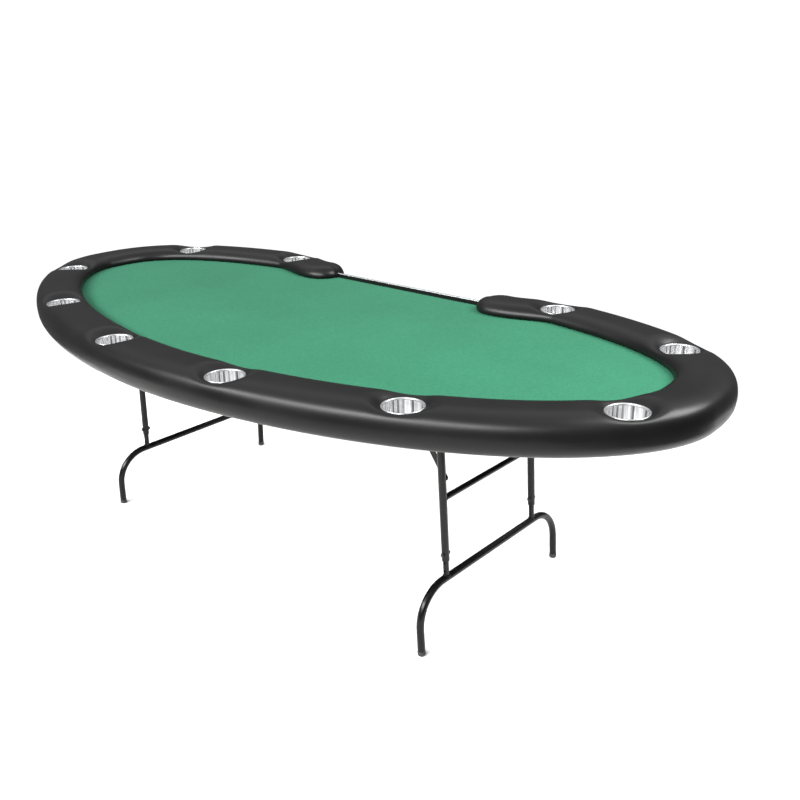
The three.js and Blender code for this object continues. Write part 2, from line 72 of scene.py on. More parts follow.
# %% [markdown]
# ## Camera
# The table is seen from its near right corner, from a little above head height of a seated player.
# A camera looks down its own -Z axis with +Y up, so its three axes are built from a heading, a
# pitch and a small roll, and set as the columns of its matrix.

# %% Camera
CAMERA_PLACE = Vector((1.9871, -1.8314, 1.5139))
HEADING, PITCH, ROLL = 0.7193, 0.3718, 0.018  # radians
FOCAL_LENGTH, SENSOR_WIDTH = 41.61, 36  # mm

forward = Vector((
    -math.sin(HEADING) * math.cos(PITCH), math.cos(HEADING) * math.cos(PITCH), -math.sin(PITCH)))
level_right = Vector((math.cos(HEADING), math.sin(HEADING), 0))
level_down = forward.cross(level_right)
view_right = math.cos(ROLL) * level_right + math.sin(ROLL) * level_down
view_down = math.cos(ROLL) * level_down - math.sin(ROLL) * level_right
camera_data = bpy.data.cameras.new("camera")
camera_data.lens, camera_data.sensor_width = FOCAL_LENGTH, SENSOR_WIDTH
camera = bpy.data.objects.new("camera", camera_data)
bpy.context.scene.collection.objects.link(camera)
axes = Matrix((view_right, -view_down, -forward)).transposed()
camera.matrix_world = Matrix.Translation(CAMERA_PLACE) @ axes.to_4x4()
bpy.context.scene.camera = camera
print("camera at", tuple(CAMERA_PLACE), "lens", FOCAL_LENGTH)

# %% [markdown]
# ## Helpers for materials
# Every material is a small network of nodes around a Principled shader. Colours are written as sRGB
# hex values, as a paint shop would quote them, and one function turns them into linear light.
# One more function adds a node with its settings, values and links, and with its stops where it is
# a colour ramp, so each material reads as a list.

# %% Colour and node helpers
def linear(hex_colour):
    """An sRGB hex value as linear red, green, blue and alpha."""
    channels = [int(hex_colour[i:i + 2], 16) / 255 for i in (1, 3, 5)]
    light = [c / 12.92 if c <= 0.04045 else ((c + 0.055) / 1.055) ** 2.4 for c in channels]
    return (*light, 1.0)


def add_node(tree, kind, settings=None, values=None, links=None, stops=()):
    """A new node with its settings, input values, links from other sockets, and colour stops."""
    made = tree.nodes.new(kind)
    for key, value in (settings or {}).items():
        setattr(made, key, value)
    for key, value in (values or {}).items():
        made.inputs[key].default_value = value
    for key, socket in (links or {}).items():
        tree.links.new(socket, made.inputs[key])
    if stops:
        elements = made.color_ramp.elements
        while len(elements) < len(stops):
            elements.new(0.5)
        for element, (position, colour) in zip(elements, stops):
            element.position = position
            element.color = linear(colour)
    return made


def new_material(name, base, roughness, **sockets):
    """A material with a Principled shader, its node tree, and the object's own coordinates."""
    material = bpy.data.materials.new(name)
    material.use_nodes = True
    tree = material.node_tree
    shader = tree.nodes["Principled BSDF"]
    shader.inputs["Base Color"].default_value = linear(base)
    shader.inputs["Roughness"].default_value = roughness
    for key, value in sockets.items():
        shader.inputs[key.replace("_", " ")].default_value = value
    material.diffuse_color = linear(base)
    place = add_node(tree, "ShaderNodeTexCoord").outputs["Object"]
    return material, tree, shader, place


def per_metre(size_mm):
    """The texture scale that gives features of this size in millimetres."""
    return 1 / (size_mm * MM)


print("helpers ready; #808080 is", round(linear("#808080")[0], 4), "in linear light")

# %% [markdown]
# ## Leatherette
# The rail is covered with PVC-coated fabric, embossed with a fine pebble grain and stretched over
# foam. The coating is black with a soft gloss, which gives long, blurred highlights along the rolls.
# Real pebbles are about 1 mm wide, which is too fine to show here, so they are drawn 2.6 mm wide
# and shallow. A slow noise makes the gloss uneven, as hands and forearms polish some places.

# %% Leatherette
PEBBLE = 2.6  # mm
leatherette, tree, shader, place = new_material(
    "pvc_leatherette_embossed", "#0a0a0a", 0.38, IOR=1.5, Specular_IOR_Level=0.22)
worn = add_node(
    tree, "ShaderNodeTexNoise", values={"Scale": per_metre(160), "Detail": 4.0}, links={"Vector": place})
gloss = add_node(
    tree, "ShaderNodeMapRange", values={"From Min": 0.3, "From Max": 0.7, "To Min": 0.34, "To Max": 0.42},
    links={"Value": worn.outputs["Fac"]})
tree.links.new(gloss.outputs["Result"], shader.inputs["Roughness"])
tone = add_node(
    tree, "ShaderNodeValToRGB", links={"Fac": worn.outputs["Fac"]},
    stops=[(0.3, "#080808"), (0.7, "#0c0c0c")])
tree.links.new(tone.outputs["Color"], shader.inputs["Base Color"])
pebbles = add_node(
    tree, "ShaderNodeTexVoronoi", {"feature": "SMOOTH_F1"},
    {"Scale": per_metre(PEBBLE), "Smoothness": 0.6}, {"Vector": place})
creases = add_node(
    tree, "ShaderNodeTexNoise", values={"Scale": per_metre(18), "Detail": 3.0}, links={"Vector": place})
grain = add_node(
    tree, "ShaderNodeMath", {"operation": "ADD"},
    links={0: pebbles.outputs["Distance"], 1: creases.outputs["Fac"]})
emboss = add_node(
    tree, "ShaderNodeBump", values={"Strength": 0.16, "Distance": 0.4 * MM},
    links={"Height": grain.outputs["Value"]})
tree.links.new(emboss.outputs["Normal"], shader.inputs["Normal"])
print("leatherette made, grain drawn at", PEBBLE, "mm")

# %% [markdown]
# ## Speed cloth
# The playing surface is a woven polyester cloth with a water-resistant finish, pulled tight over
# foam. It is matt, with a little sheen from its fibre ends. Its threads are 0.5 mm apart, which is
# too fine to show, so each yarn tone is drawn 5 mm wide. Two crossing waves, one every 31 mm, stand
# for the uneven pull along the warp and the weft, and a broad noise for the uneven dye and nap.

# %% Speed cloth
YARN = 5  # mm
PULL = 200  # radians of wave in a metre, which is a wave every 31 mm
WAVE_NODE_TURN = 20  # radians that a wave texture turns in one unit of its own scale
speed_cloth, tree, shader, place = new_material(
    "polyester_speed_cloth_woven", "#255f47", 0.92, IOR=1.5, Specular_IOR_Level=0.1, Sheen_Weight=0.02)
yarn = add_node(
    tree, "ShaderNodeTexNoise", values={"Scale": per_metre(YARN), "Detail": 3.0}, links={"Vector": place})
nap = add_node(
    tree, "ShaderNodeTexNoise", values={"Scale": per_metre(260), "Detail": 3.0}, links={"Vector": place})
yarn_tone = add_node(
    tree, "ShaderNodeValToRGB", links={"Fac": yarn.outputs["Fac"]},
    stops=[(0.25, "#205943"), (0.75, "#2a654c")])
nap_tone = add_node(
    tree, "ShaderNodeValToRGB", links={"Fac": nap.outputs["Fac"]},
    stops=[(0.3, "#f3f3f3"), (0.7, "#ffffff")])
dyed = add_node(
    tree, "ShaderNodeMix", {"data_type": "RGBA", "blend_type": "MULTIPLY"}, {0: 1.0},
    {6: yarn_tone.outputs["Color"], 7: nap_tone.outputs["Color"]})
tree.links.new(dyed.outputs[2], shader.inputs["Base Color"])
warp, weft = [
    add_node(
        tree, "ShaderNodeTexWave", {"bands_direction": axis},
        {"Scale": PULL / WAVE_NODE_TURN, "Distortion": 0.6}, {"Vector": place})
    for axis in ("X", "Y")]
pulled = add_node(
    tree, "ShaderNodeMath", {"operation": "MAXIMUM"},
    links={0: warp.outputs["Fac"], 1: weft.outputs["Fac"]})
height = add_node(
    tree, "ShaderNodeMath", {"operation": "ADD"},
    links={0: pulled.outputs["Value"], 1: yarn.outputs["Fac"]})
weave = add_node(
    tree, "ShaderNodeBump", values={"Strength": 0.4, "Distance": 0.5 * MM},
    links={"Height": height.outputs["Value"]})
tree.links.new(weave.outputs["Normal"], shader.inputs["Normal"])
print("speed cloth made, yarn drawn at", YARN, "mm")

# %% [markdown]
# ## Stainless steel
# A cup holder is deep-drawn from stainless sheet: a punch pulls the wall down, and the rolled lip is
# polished. Below the lip the wall's colour carries upright bands of painted reflection, dark and
# bright, which stand for the room mirrored in the steel; the same bands make the gloss a little uneven.
# The bands depend only on the direction from the cup's own axis, so each cup's origin lies on it,
# and their scale is the wall's radius over the width of a band.

# %% Stainless steel
CUP_WALL, BAND = 46, 10  # mm: the radius of a cup's wall, and the width of a band
drawn_steel, tree, shader, place = new_material("stainless_steel_deep_drawn", "#d6d7d8", 0.3, Metallic=0.85)
spoke = add_node(tree, "ShaderNodeVectorMath", {"operation": "MULTIPLY"}, {1: (1, 1, 0)}, {0: place})
around = add_node(
    tree, "ShaderNodeVectorMath", {"operation": "NORMALIZE"}, links={0: spoke.outputs["Vector"]})
bands = add_node(
    tree, "ShaderNodeTexNoise", values={"Scale": CUP_WALL / BAND, "Detail": 2.0, "Roughness": 0.5},
    links={"Vector": around.outputs["Vector"]})
# Painted reflection: the bands' dark and bright tones stand for the room mirrored in the wall.
painted_reflection_tone = add_node(
    tree, "ShaderNodeValToRGB", links={"Fac": bands.outputs["Fac"]},
    stops=[(0.38, "#5d5e60"), (0.45, "#b9babb"), (0.5, "#fdfdfd"), (0.57, "#b7b8b9"), (0.63, "#ffffff")])
wall = add_node(tree, "ShaderNodeSeparateXYZ", links={"Vector": place})
below_lip = add_node(
    tree, "ShaderNodeMapRange", values={"From Min": -3 * MM, "From Max": -6 * MM},
    links={"Value": wall.outputs["Z"]})
# The polished lip keeps one flat steel tone; below it the painted reflection takes over.
lip_and_painted_reflection_tone = add_node(
    tree, "ShaderNodeMix", {"data_type": "RGBA"}, {6: linear("#b4b5b6")},
    {0: below_lip.outputs["Result"], 7: painted_reflection_tone.outputs["Color"]})
tree.links.new(lip_and_painted_reflection_tone.outputs[2], shader.inputs["Base Color"])
dull = add_node(
    tree, "ShaderNodeMapRange", values={"From Min": 0.3, "From Max": 0.7, "To Min": 0.36, "To Max": 0.24},
    links={"Value": bands.outputs["Fac"]})
tree.links.new(dull.outputs["Result"], shader.inputs["Roughness"])
print("stainless steel made, upright bands about", BAND, "mm wide")

# %% [markdown]
# ## Powder-coated steel
# The leg frames are steel tube with a baked black powder coat. The powder melts into a skin with a
# fine orange peel, about 2 mm across, which breaks the gloss a little. Corners and tube ends are
# rubbed slightly duller, which a slow noise stands for.

# %% Powder coat
ORANGE_PEEL = 2.2  # mm
powder_coat, tree, shader, place = new_material(
    "steel_powder_coated_black", "#070707", 0.26, IOR=1.5, Specular_IOR_Level=0.2)
peel = add_node(
    tree, "ShaderNodeTexNoise", values={"Scale": per_metre(ORANGE_PEEL), "Detail": 1.0},
    links={"Vector": place})
rubbed = add_node(
    tree, "ShaderNodeTexNoise", values={"Scale": per_metre(70), "Detail": 5.0}, links={"Vector": place})
tone = add_node(
    tree, "ShaderNodeValToRGB", links={"Fac": rubbed.outputs["Fac"]},
    stops=[(0.3, "#050505"), (0.7, "#0a0a0a")])
tree.links.new(tone.outputs["Color"], shader.inputs["Base Color"])
gloss = add_node(
    tree, "ShaderNodeMapRange", values={"From Min": 0.3, "From Max": 0.75, "To Min": 0.2, "To Max": 0.34},
    links={"Value": rubbed.outputs["Fac"]})
tree.links.new(gloss.outputs["Result"], shader.inputs["Roughness"])
skin = add_node(
    tree, "ShaderNodeBump", values={"Strength": 0.12, "Distance": 0.2 * MM},
    links={"Height": peel.outputs["Fac"]})
tree.links.new(skin.outputs["Normal"], shader.inputs["Normal"])
print("powder coat made, orange peel", ORANGE_PEEL, "mm")

# %% [markdown]
# ## Zinc, aluminium and moulded plastic
# Bolts, rivets, straps and screws are steel with a black zinc plating: a thin metal skin that
# stays a little metallic. The line on the dealer's edge is a drawn aluminium bead with fine
# lengthwise marks. The edge strip is black ABS, extruded and satin, and the foot plugs are moulded
# polyethylene, which is dull and picks up scuffs.

# %% Zinc, aluminium and plastics
black_zinc, tree, shader, place = new_material("steel_black_zinc_plated", "#2b2b2c", 0.38, Metallic=0.7)
plating = add_node(
    tree, "ShaderNodeTexNoise", values={"Scale": per_metre(9), "Detail": 4.0}, links={"Vector": place})
tone = add_node(
    tree, "ShaderNodeValToRGB", links={"Fac": plating.outputs["Fac"]},
    stops=[(0.3, "#1f1f20"), (0.72, "#3a3a3b")])
tree.links.new(tone.outputs["Color"], shader.inputs["Base Color"])

aluminium, tree, shader, place = new_material("aluminium_bead_drawn", "#cfd1d3", 0.28, Metallic=1.0)
stretched = add_node(tree, "ShaderNodeMapping", values={"Scale": (0.02, 1, 1)}, links={"Vector": place})
marks = add_node(
    tree, "ShaderNodeTexNoise", values={"Scale": per_metre(0.6), "Detail": 2.0},
    links={"Vector": stretched.outputs["Vector"]})
gloss = add_node(
    tree, "ShaderNodeMapRange", values={"To Min": 0.2, "To Max": 0.38}, links={"Value": marks.outputs["Fac"]})
tree.links.new(gloss.outputs["Result"], shader.inputs["Roughness"])

edging, tree, shader, place = new_material(
    "abs_edging_extruded", "#080808", 0.35, IOR=1.53, Specular_IOR_Level=0.25)
flow = add_node(
    tree, "ShaderNodeTexNoise", values={"Scale": per_metre(35), "Detail": 2.0}, links={"Vector": place})
gloss = add_node(
    tree, "ShaderNodeMapRange", values={"To Min": 0.3, "To Max": 0.4}, links={"Value": flow.outputs["Fac"]})
tree.links.new(gloss.outputs["Result"], shader.inputs["Roughness"])

moulded, tree, shader, place = new_material("polyethylene_moulded", "#171717", 0.55, IOR=1.51)
scuffs = add_node(
    tree, "ShaderNodeTexNoise", values={"Scale": per_metre(6), "Detail": 6.0}, links={"Vector": place})
tone = add_node(
    tree, "ShaderNodeValToRGB", links={"Fac": scuffs.outputs["Fac"]},
    stops=[(0.45, "#131313"), (0.8, "#3a3a38")])
tree.links.new(tone.outputs["Color"], shader.inputs["Base Color"])
print("zinc, aluminium, edging and moulded plastic made")

# %% [markdown]
# ## Plywood and foam
# The boards are plywood, rotary-cut so that the grain runs in long wandering bands along the
# table. The base panel is stained black and shows its grain faintly from below. The other boards
# and the foam under the cloth are inside the table, and are finished in the same way.

# %% Plywood and foam
def plywood(name, dark, light, gloss):
    """Rotary-cut veneer: bands about 60 mm apart, pulled out along X, with fine pores on top."""
    material, tree, shader, place = new_material(name, light, gloss, IOR=1.5)
    pulled = add_node(tree, "ShaderNodeMapping", values={"Scale": (0.12, 1, 1)}, links={"Vector": place})
    figure = add_node(
        tree, "ShaderNodeTexNoise", values={"Scale": per_metre(60), "Detail": 5.0, "Distortion": 1.2},
        links={"Vector": pulled.outputs["Vector"]})
    pores = add_node(
        tree, "ShaderNodeTexNoise", values={"Scale": per_metre(4), "Detail": 2.0},
        links={"Vector": pulled.outputs["Vector"]})
    veneer = add_node(
        tree, "ShaderNodeValToRGB", links={"Fac": figure.outputs["Fac"]}, stops=[(0.35, dark), (0.65, light)])
    tree.links.new(veneer.outputs["Color"], shader.inputs["Base Color"])
    relief = add_node(
        tree, "ShaderNodeBump", values={"Strength": 0.2, "Distance": 0.3 * MM},
        links={"Height": pores.outputs["Fac"]})
    tree.links.new(relief.outputs["Normal"], shader.inputs["Normal"])
    return material


birch = plywood("birch_plywood_sanded", "#a9814f", "#c9a26c", 0.65)
stained = plywood("birch_plywood_black_stained", "#121211", "#232221", 0.55)
foam, tree, shader, place = new_material("polyurethane_foam_sliced", "#d8d4c4", 0.95)
cells = add_node(tree, "ShaderNodeTexVoronoi", values={"Scale": per_metre(1.5)}, links={"Vector": place})
pits = add_node(
    tree, "ShaderNodeBump", values={"Strength": 0.5, "Distance": 0.5 * MM},
    links={"Height": cells.outputs["Distance"]})
tree.links.new(pits.outputs["Normal"], shader.inputs["Normal"])
print("plywood and foam made")

# %% Finish the solid parts that stay
SOLID_FINISHES = {"base_panel": stained, "playing_panel": birch, "cloth_underlay": foam}
for side in ("left", "right"):
    for hand in ("near", "far"):
        SOLID_FINISHES[f"{side}_{hand}_pivot_strap"] = black_zinc
        SOLID_FINISHES[f"{side}_{hand}_brace_bracket"] = black_zinc
for name, finish in SOLID_FINISHES.items():
    frame["nodes"][name].data.materials.clear()
    frame["nodes"][name].data.materials.append(finish)
print(len(SOLID_FINISHES), "solid parts keep their shape")

# %% [markdown]
# ## Helpers for shapes
# Most parts are either turned (a profile swept round an axis) or drawn along a path (a section
# swept along a line). Both are plain loops that make vertices and faces, so the shape is exact and
# light, and sharp edges are marked so that they stay crisp under smooth shading: above 35 degrees on
# most parts, and above a wider angle on rounded and padded ones.
# Holes are cut out with a boolean, as a drill or a punch would cut them.

# %% Shape helpers
MERGE_DISTANCE = 1e-6
SHARP_EDGE, SOFT_EDGE, RAIL_EDGE, WELD_EDGE = 35, 50, 60, 80  # degrees


def clean_mesh(name, vertices, faces):
    """A mesh with its doubled points merged and its faces turned outwards."""
    mesh = bpy.data.meshes.new(name)
    mesh.from_pydata([tuple(v) for v in vertices], [], faces)
    cleaner = bmesh.new()
    cleaner.from_mesh(mesh)
    bmesh.ops.remove_doubles(cleaner, verts=cleaner.verts, dist=MERGE_DISTANCE)
    bmesh.ops.recalc_face_normals(cleaner, faces=cleaner.faces)
    cleaner.to_mesh(mesh)
    cleaner.free()
    return mesh


def make_piece(name, vertices, faces, body, finish, slot_name, sharp=SHARP_EDGE, matrix=None):
    """A finished piece that rides on a body, with the finish as its material. slot_name is not used."""
    mesh = clean_mesh(name, vertices, faces)
    mesh.materials.append(finish)
    mesh.shade_smooth()
    mesh.set_sharp_from_angle(angle=math.radians(sharp))
    piece = bpy.data.objects.new(name, mesh)
    bpy.context.scene.collection.objects.link(piece)
    if matrix is not None:
        piece.matrix_world = matrix
    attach(piece, body)
    return piece


def cut_out(piece, part, sharp=SHARP_EDGE, matrix=None):
    """Cuts a (vertices, faces) part, given under a matrix, out of a piece."""
    cutter = bpy.data.objects.new("cutter", clean_mesh("cutter", *part))
    bpy.context.scene.collection.objects.link(cutter)
    if matrix is not None:
        cutter.matrix_world = matrix
    cut = piece.modifiers.new("cut", "BOOLEAN")
    cut.operation, cut.solver, cut.object = "DIFFERENCE", "EXACT", cutter
    bpy.context.view_layer.update()
    finished = bpy.data.meshes.new_from_object(piece.evaluated_get(bpy.context.evaluated_depsgraph_get()))
    piece.modifiers.clear()
    piece.data = finished
    bpy.data.objects.remove(cutter)
    piece.data.set_sharp_from_angle(angle=math.radians(sharp))


def loft(rings, closed_ring=True, closed_path=False):
    """Faces between neighbouring rings of the same number of vertices."""
    count = len(rings[0])
    vertices = [v for ring in rings for v in ring]
    faces = []
    for i in range(len(rings) if closed_path else len(rings) - 1):
        here, there = i * count, ((i + 1) % len(rings)) * count
        for k in range(count if closed_ring else count - 1):
            after = (k + 1) % count
            faces.append((here + k, here + after, there + after, there + k))
    return vertices, faces


def turned(profile, sides=48, closed=False):
    """A profile of (radius, height) swept round Z. A closed profile makes a ring."""
    rings = []
    for i in range(sides):
        angle = 2 * math.pi * i / sides
        rings.append([Vector((r * math.cos(angle), r * math.sin(angle), z)) for r, z in profile])
    return loft(rings, closed_ring=closed, closed_path=True)


def drawn(path, radius, sides=28):
    """A rod with flat ends along a path of points."""
    rings = []
    turn = [2 * math.pi * k / sides for k in range(sides)]
    flat = (path[1] - path[0]).orthogonal().normalized()
    for i, point in enumerate(path):
        ahead = (path[min(i + 1, len(path) - 1)] - path[max(i - 1, 0)]).normalized()
        flat = (flat - ahead * flat.dot(ahead)).normalized()
        other = ahead.cross(flat)
        rings.append([point + (math.cos(a) * flat + math.sin(a) * other) * radius for a in turn])
    vertices, faces = loft(rings)
    faces.append(tuple(range(sides - 1, -1, -1)))
    faces.append(tuple(range(len(vertices) - sides, len(vertices))))
    return vertices, faces


def joined(parts):
    """Several (vertices, faces) lists as one."""
    vertices, faces = [], []
    for more_vertices, more_faces in parts:
        start = len(vertices)
        vertices.extend(more_vertices)
        faces.extend(tuple(index + start for index in face) for face in more_faces)
    return vertices, faces


def moved(part, matrix):
    """The same part under a matrix."""
    vertices, faces = part
    return [matrix @ Vector(v) for v in vertices], faces


print("shape helpers ready")

# %% [markdown]
# ## The rail's middle line
# The top's plan is two half ovals that share their ends: the near half a little more pointed than
# an ellipse, the far half a little squarer. The rail is a band beside that line, open at the
# dealer's place, where its two ends swing in towards the cloth. The same few numbers draw it here,
# and its length and place come from the loaded frame.

# %% Middle line of the rail
rail_names = sorted(name for name in frame["nodes"] if name.startswith("padded_rail"))
rail_boxes = [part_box(name) for name in rail_names]
rail_low = Vector([min(low[i] for low, high in rail_boxes) for i in range(3)])
rail_high = Vector([max(high[i] for low, high in rail_boxes) for i in range(3)])
HALF_LENGTH = rail_high.x + 0.2 * MM  # the solid's flat facets stop 0.2 mm short of the round end
NEAR_DEPTH, NEAR_POWER = 652 * MM, 1.86
FAR_DEPTH, FAR_POWER = 557 * MM, 2.6
PLAN_Y = rail_low.y + NEAR_DEPTH
HALF_WIDTH = 75 * MM
END_X, HOOK_X, HOOK_DEPTH = 390 * MM, 610 * MM, 63 * MM
OUTLINE_STEPS = 4000


def signed_power(value, exponent):
    """A power of a value's size, with the value's own sign."""
    return math.copysign(abs(value) ** exponent, value)


def plan_point(angle, inset):
    """A point of the table's outline, moved in along the outline's normal."""
    far = math.sin(angle) > 0
    n = FAR_POWER if far else NEAR_POWER
    depth = FAR_DEPTH if far else NEAR_DEPTH
    c, s = math.cos(angle), math.sin(angle)
    normal = Vector((signed_power(c, 2 - 2 / n) / HALF_LENGTH, signed_power(s, 2 - 2 / n) / depth))
    point = Vector((HALF_LENGTH * signed_power(c, 2 / n), depth * signed_power(s, 2 / n)))
    return point - inset * normal.normalized() + Vector((0, PLAN_Y))


def solve(test, low, high):
    """Where a rising function reaches zero between two angles."""
    for _ in range(50):
        middle = (low + high) / 2
        low, high = (middle, high) if test(middle) < 0 else (low, middle)
    return (low + high) / 2


def hook(x):
    """How far the rail swings in at x, eased at both ends."""
    across = min(max((HOOK_X - abs(x)) / (HOOK_X - END_X), 0), 1)
    return HOOK_DEPTH * across * across * (3 - 2 * across)


def evenly(points, count):
    """A line of points walked again in equal steps."""
    reach = [0.0]
    for a, b in zip(points, points[1:]):
        reach.append(reach[-1] + (b - a).length)
    result, i = [], 0
    for step in range(count + 1):
        wanted = reach[-1] * step / count
        while i < len(points) - 2 and reach[i + 1] < wanted:
            i += 1
        share = (wanted - reach[i]) / max(reach[i + 1] - reach[i], 1e-12)
        result.append(points[i].lerp(points[i + 1], min(max(share, 0), 1)))
    return result


def table_line(inset, end_x, bend=True):
    """The outline at an inset, from +end_x round the near side to -end_x."""
    start = solve(lambda a: end_x - plan_point(a, inset).x, 0.2, 1.5)
    points = []
    for i in range(OUTLINE_STEPS + 1):
        angle = start - (math.pi + 2 * start) * i / OUTLINE_STEPS
        point = plan_point(angle, inset)
        if bend and math.sin(angle) > 0:
            point.y -= hook(point.x)
        points.append(point)
    return points


STATIONS = 900
middle = evenly(table_line(HALF_WIDTH, END_X), STATIONS)
outward = []
for i in range(STATIONS + 1):
    ahead = (middle[min(i + 1, STATIONS)] - middle[max(i - 1, 0)]).normalized()
    outward.append(Vector((-ahead.y, ahead.x)))
rail_length = sum((b - a).length for a, b in zip(middle, middle[1:]))
ring_spacing = rail_length / STATIONS
print("rail middle line", round(rail_length, 3), "m, a ring every", round(ring_spacing / MM, 1), "mm")

# %% [markdown]
# ## Cup holders
# Each cup drops into a hole in the rail and hangs on its lip. The lip is rolled over so that no
# sharp edge shows, the wall tapers a little so that the cup leaves the press, and the floor meets
# the wall in a small radius. It is one turned profile, with its origin on the cup's own axis.

# %% Cup holders
CUP_SIDES = 72
cup_names = sorted(name for name in frame["nodes"] if name.startswith("cup_holder"))
cup_centres = []
for name in cup_names:
    low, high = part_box(name)
    axis_point = Vector(((low.x + high.x) / 2, (low.y + high.y) / 2, high.z))
    lip_radius = (high.x - low.x) / 2
    lip, depth = lip_radius / MM, (high.z - low.z) / MM
    wall = lip - 4
    outside = [
        (0, -depth), (wall - 5, -depth), (wall - 1.5, 1 - depth), (wall - 0.6, 4 - depth), (wall, -6),
        (wall + 0.1, -2.4)]
    rolled_lip = [
        (lip - 1.6, -2.1), (lip - 0.5, -1.9), (lip, -1.2), (lip - 0.2, -0.5), (lip - 0.9, -0.1),
        (lip - 1.8, 0), (lip - 3.2, -0.15), (lip - 4.4, -0.8), (lip - 5.1, -2.1)]
    inside = [
        (wall - 1.2, -5), (wall - 1.3, -20), (wall - 1.8, 9 - depth), (wall - 2.6, 4.5 - depth),
        (wall - 4.2, 2.2 - depth), (wall - 7, 1.4 - depth), (wall - 12, 1.2 - depth)]
    raised_floor = [(24, 1.2 - depth), (22, 1.9 - depth), (20, 2 - depth), (0, 2 - depth)]
    profile = [(r * MM, z * MM) for r, z in outside + rolled_lip + inside + raised_floor]
    vertices, faces = turned(profile, sides=CUP_SIDES)
    cup = make_piece(
        f"{name}_drawn", vertices, faces, "table_top", drawn_steel, "stainless_steel", sharp=SOFT_EDGE,
        matrix=Matrix.Translation(axis_point))
    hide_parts(name)
    cup_centres.append(Vector((axis_point.x, axis_point.y)))
CUP_LIP, CUP_RIM_Z = lip_radius, axis_point.z
print(len(cup_centres), "cups, lip", round(2 * CUP_LIP / MM, 1), "mm across, rim at", round(CUP_RIM_Z, 3))

# %% [markdown]
# ## The padded rail
# The rail is foam glued over a plywood ring, with leatherette pulled over it and down round the
# table's edge. Its section is a soft, slightly crowned top, a round outer roll that turns under the
# base panel, and a smaller inner roll that presses on the cloth and leaves a dark line there.
# A closed band of quads along the middle line gives that shape exactly. Each end is half a turn of
# the same section round the end of the line, which makes the rounded ends at the dealer's place.

# %% Section of the padding
SKIN_STEPS = 30
CURVE_STEPS = 20


def smooth_line(points, count):
    """A curve through the points, walked in equal steps."""
    fine = []
    for i in range(len(points) - 1):
        p0, p1 = points[max(i - 1, 0)], points[i]
        p2, p3 = points[i + 1], points[min(i + 2, len(points) - 1)]
        for k in range(CURVE_STEPS):
            t = k / CURVE_STEPS
            fine.append(0.5 * (
                2 * p1 + (p2 - p0) * t + (2 * p0 - 5 * p1 + 4 * p2 - p3) * t * t
                + (3 * p1 - p0 - 3 * p2 + p3) * t ** 3))
    fine.append(points[-1])
    return evenly(fine, count)


# Each point is (out from the middle line, above the floor), in millimetres.
outer_skin = smooth_line([Vector(p) * MM for p in (
    (41.6, 667.0), (47, 666.1), (57, 667.6), (67, 675), (73.4, 687), (75, 702), (74.6, 718), (71, 734),
    (63, 747.5), (50, 756.5), (33, 761.6), (15, 763.7), (0, 764))], SKIN_STEPS)
inner_skin = smooth_line([Vector(p) * MM for p in (
    (64, 723.1), (70.5, 723.1), (73.8, 725.5), (75, 731), (73.4, 739), (68, 748), (58, 756),
    (43, 761.2), (22, 763.6), (0, 764))], SKIN_STEPS)
outer_lining = [Vector(p) * MM for p in (
    (41.4, 698.2), (55.4, 698.2), (55.4, 716.8), (63.6, 716.8), (63.6, 741.6), (0, 741.6))]
inner_lining = [Vector(p) * MM for p in (
    (63.6, 726), (63.6, 730), (63.6, 733), (63.6, 737), (63.6, 741.6), (0, 741.6))]
outer_half = outer_skin + outer_lining[::-1]
inner_half = inner_skin + inner_lining[::-1]
CROWN, LINING_CROWN = SKIN_STEPS, SKIN_STEPS + 1
print("section points", len(outer_half), "a side; crown", rail_high.z, "bottom", rail_low.z)

# %% [markdown]
# Round each cup the padding is pulled down to just under the lip. The leatherette is stretched, so
# it leaves the plain section without a crease and falls ever more steeply towards the cup, like
# the edge of a pillow.

# %% Dips round the cups
LIP_SEAT = CUP_RIM_Z - 2.3 * MM
DIP_START, DIP_END = CUP_LIP + 1 * MM, CUP_LIP + 48 * MM
DIP_POWER = 2.4


def pressed(point):
    """A point of the skin, pulled down near a cup."""
    flat = Vector((point.x, point.y))
    distance = min((flat - centre).length for centre in cup_centres)
    if distance > DIP_END or point.z < LIP_SEAT:
        return point
    share = min((DIP_END - distance) / (DIP_END - DIP_START), 1)
    return Vector((point.x, point.y, point.z - (point.z - LIP_SEAT) * share ** DIP_POWER))


print("dips from", round(DIP_START / MM, 1), "to", round(DIP_END / MM, 1), "mm from each cup's axis")

# %% Padded rail as one band
END_TURNS = 30
BLEND_START, BLEND_SPAN = 0.38, 0.2  # shares of the end's half turn, where outer turns into inner


def across(centre, direction, section):
    """The points of half a section, laid out from the middle line in a direction."""
    return [Vector((centre.x + direction.x * p.x, centre.y + direction.y * p.x, p.y)) for p in section]


def rail_band():
    """The whole rail: rings along the middle line, and half a turn of rings at each end."""
    rings = []
    for centre, direction in zip(middle, outward):
        outer = across(centre, direction, outer_half)
        inner = across(centre, -direction, inner_half)
        skin = outer[:CROWN + 1] + inner[:CROWN][::-1]
        lining = inner[LINING_CROWN + 1:][::-1] + outer[LINING_CROWN:]
        rings.append([pressed(p) for p in skin] + lining)
    parts = [loft(rings)]
    for centre, direction, sign in ((middle[0], outward[0], 1), (middle[-1], outward[-1], -1)):
        turns = []
        for j in range(END_TURNS + 1):
            share = j / END_TURNS
            angle = sign * math.pi * share
            turned_to = Vector((
                direction.x * math.cos(angle) - direction.y * math.sin(angle),
                direction.x * math.sin(angle) + direction.y * math.cos(angle)))
            blend = min(max((share - BLEND_START) / BLEND_SPAN, 0), 1)
            blend = blend * blend * (3 - 2 * blend)
            section = [a.lerp(b, blend) for a, b in zip(outer_half, inner_half)]
            turns.append([pressed(p) for p in across(centre, turned_to, section)])
        parts.append(loft(turns))
    return joined(parts)


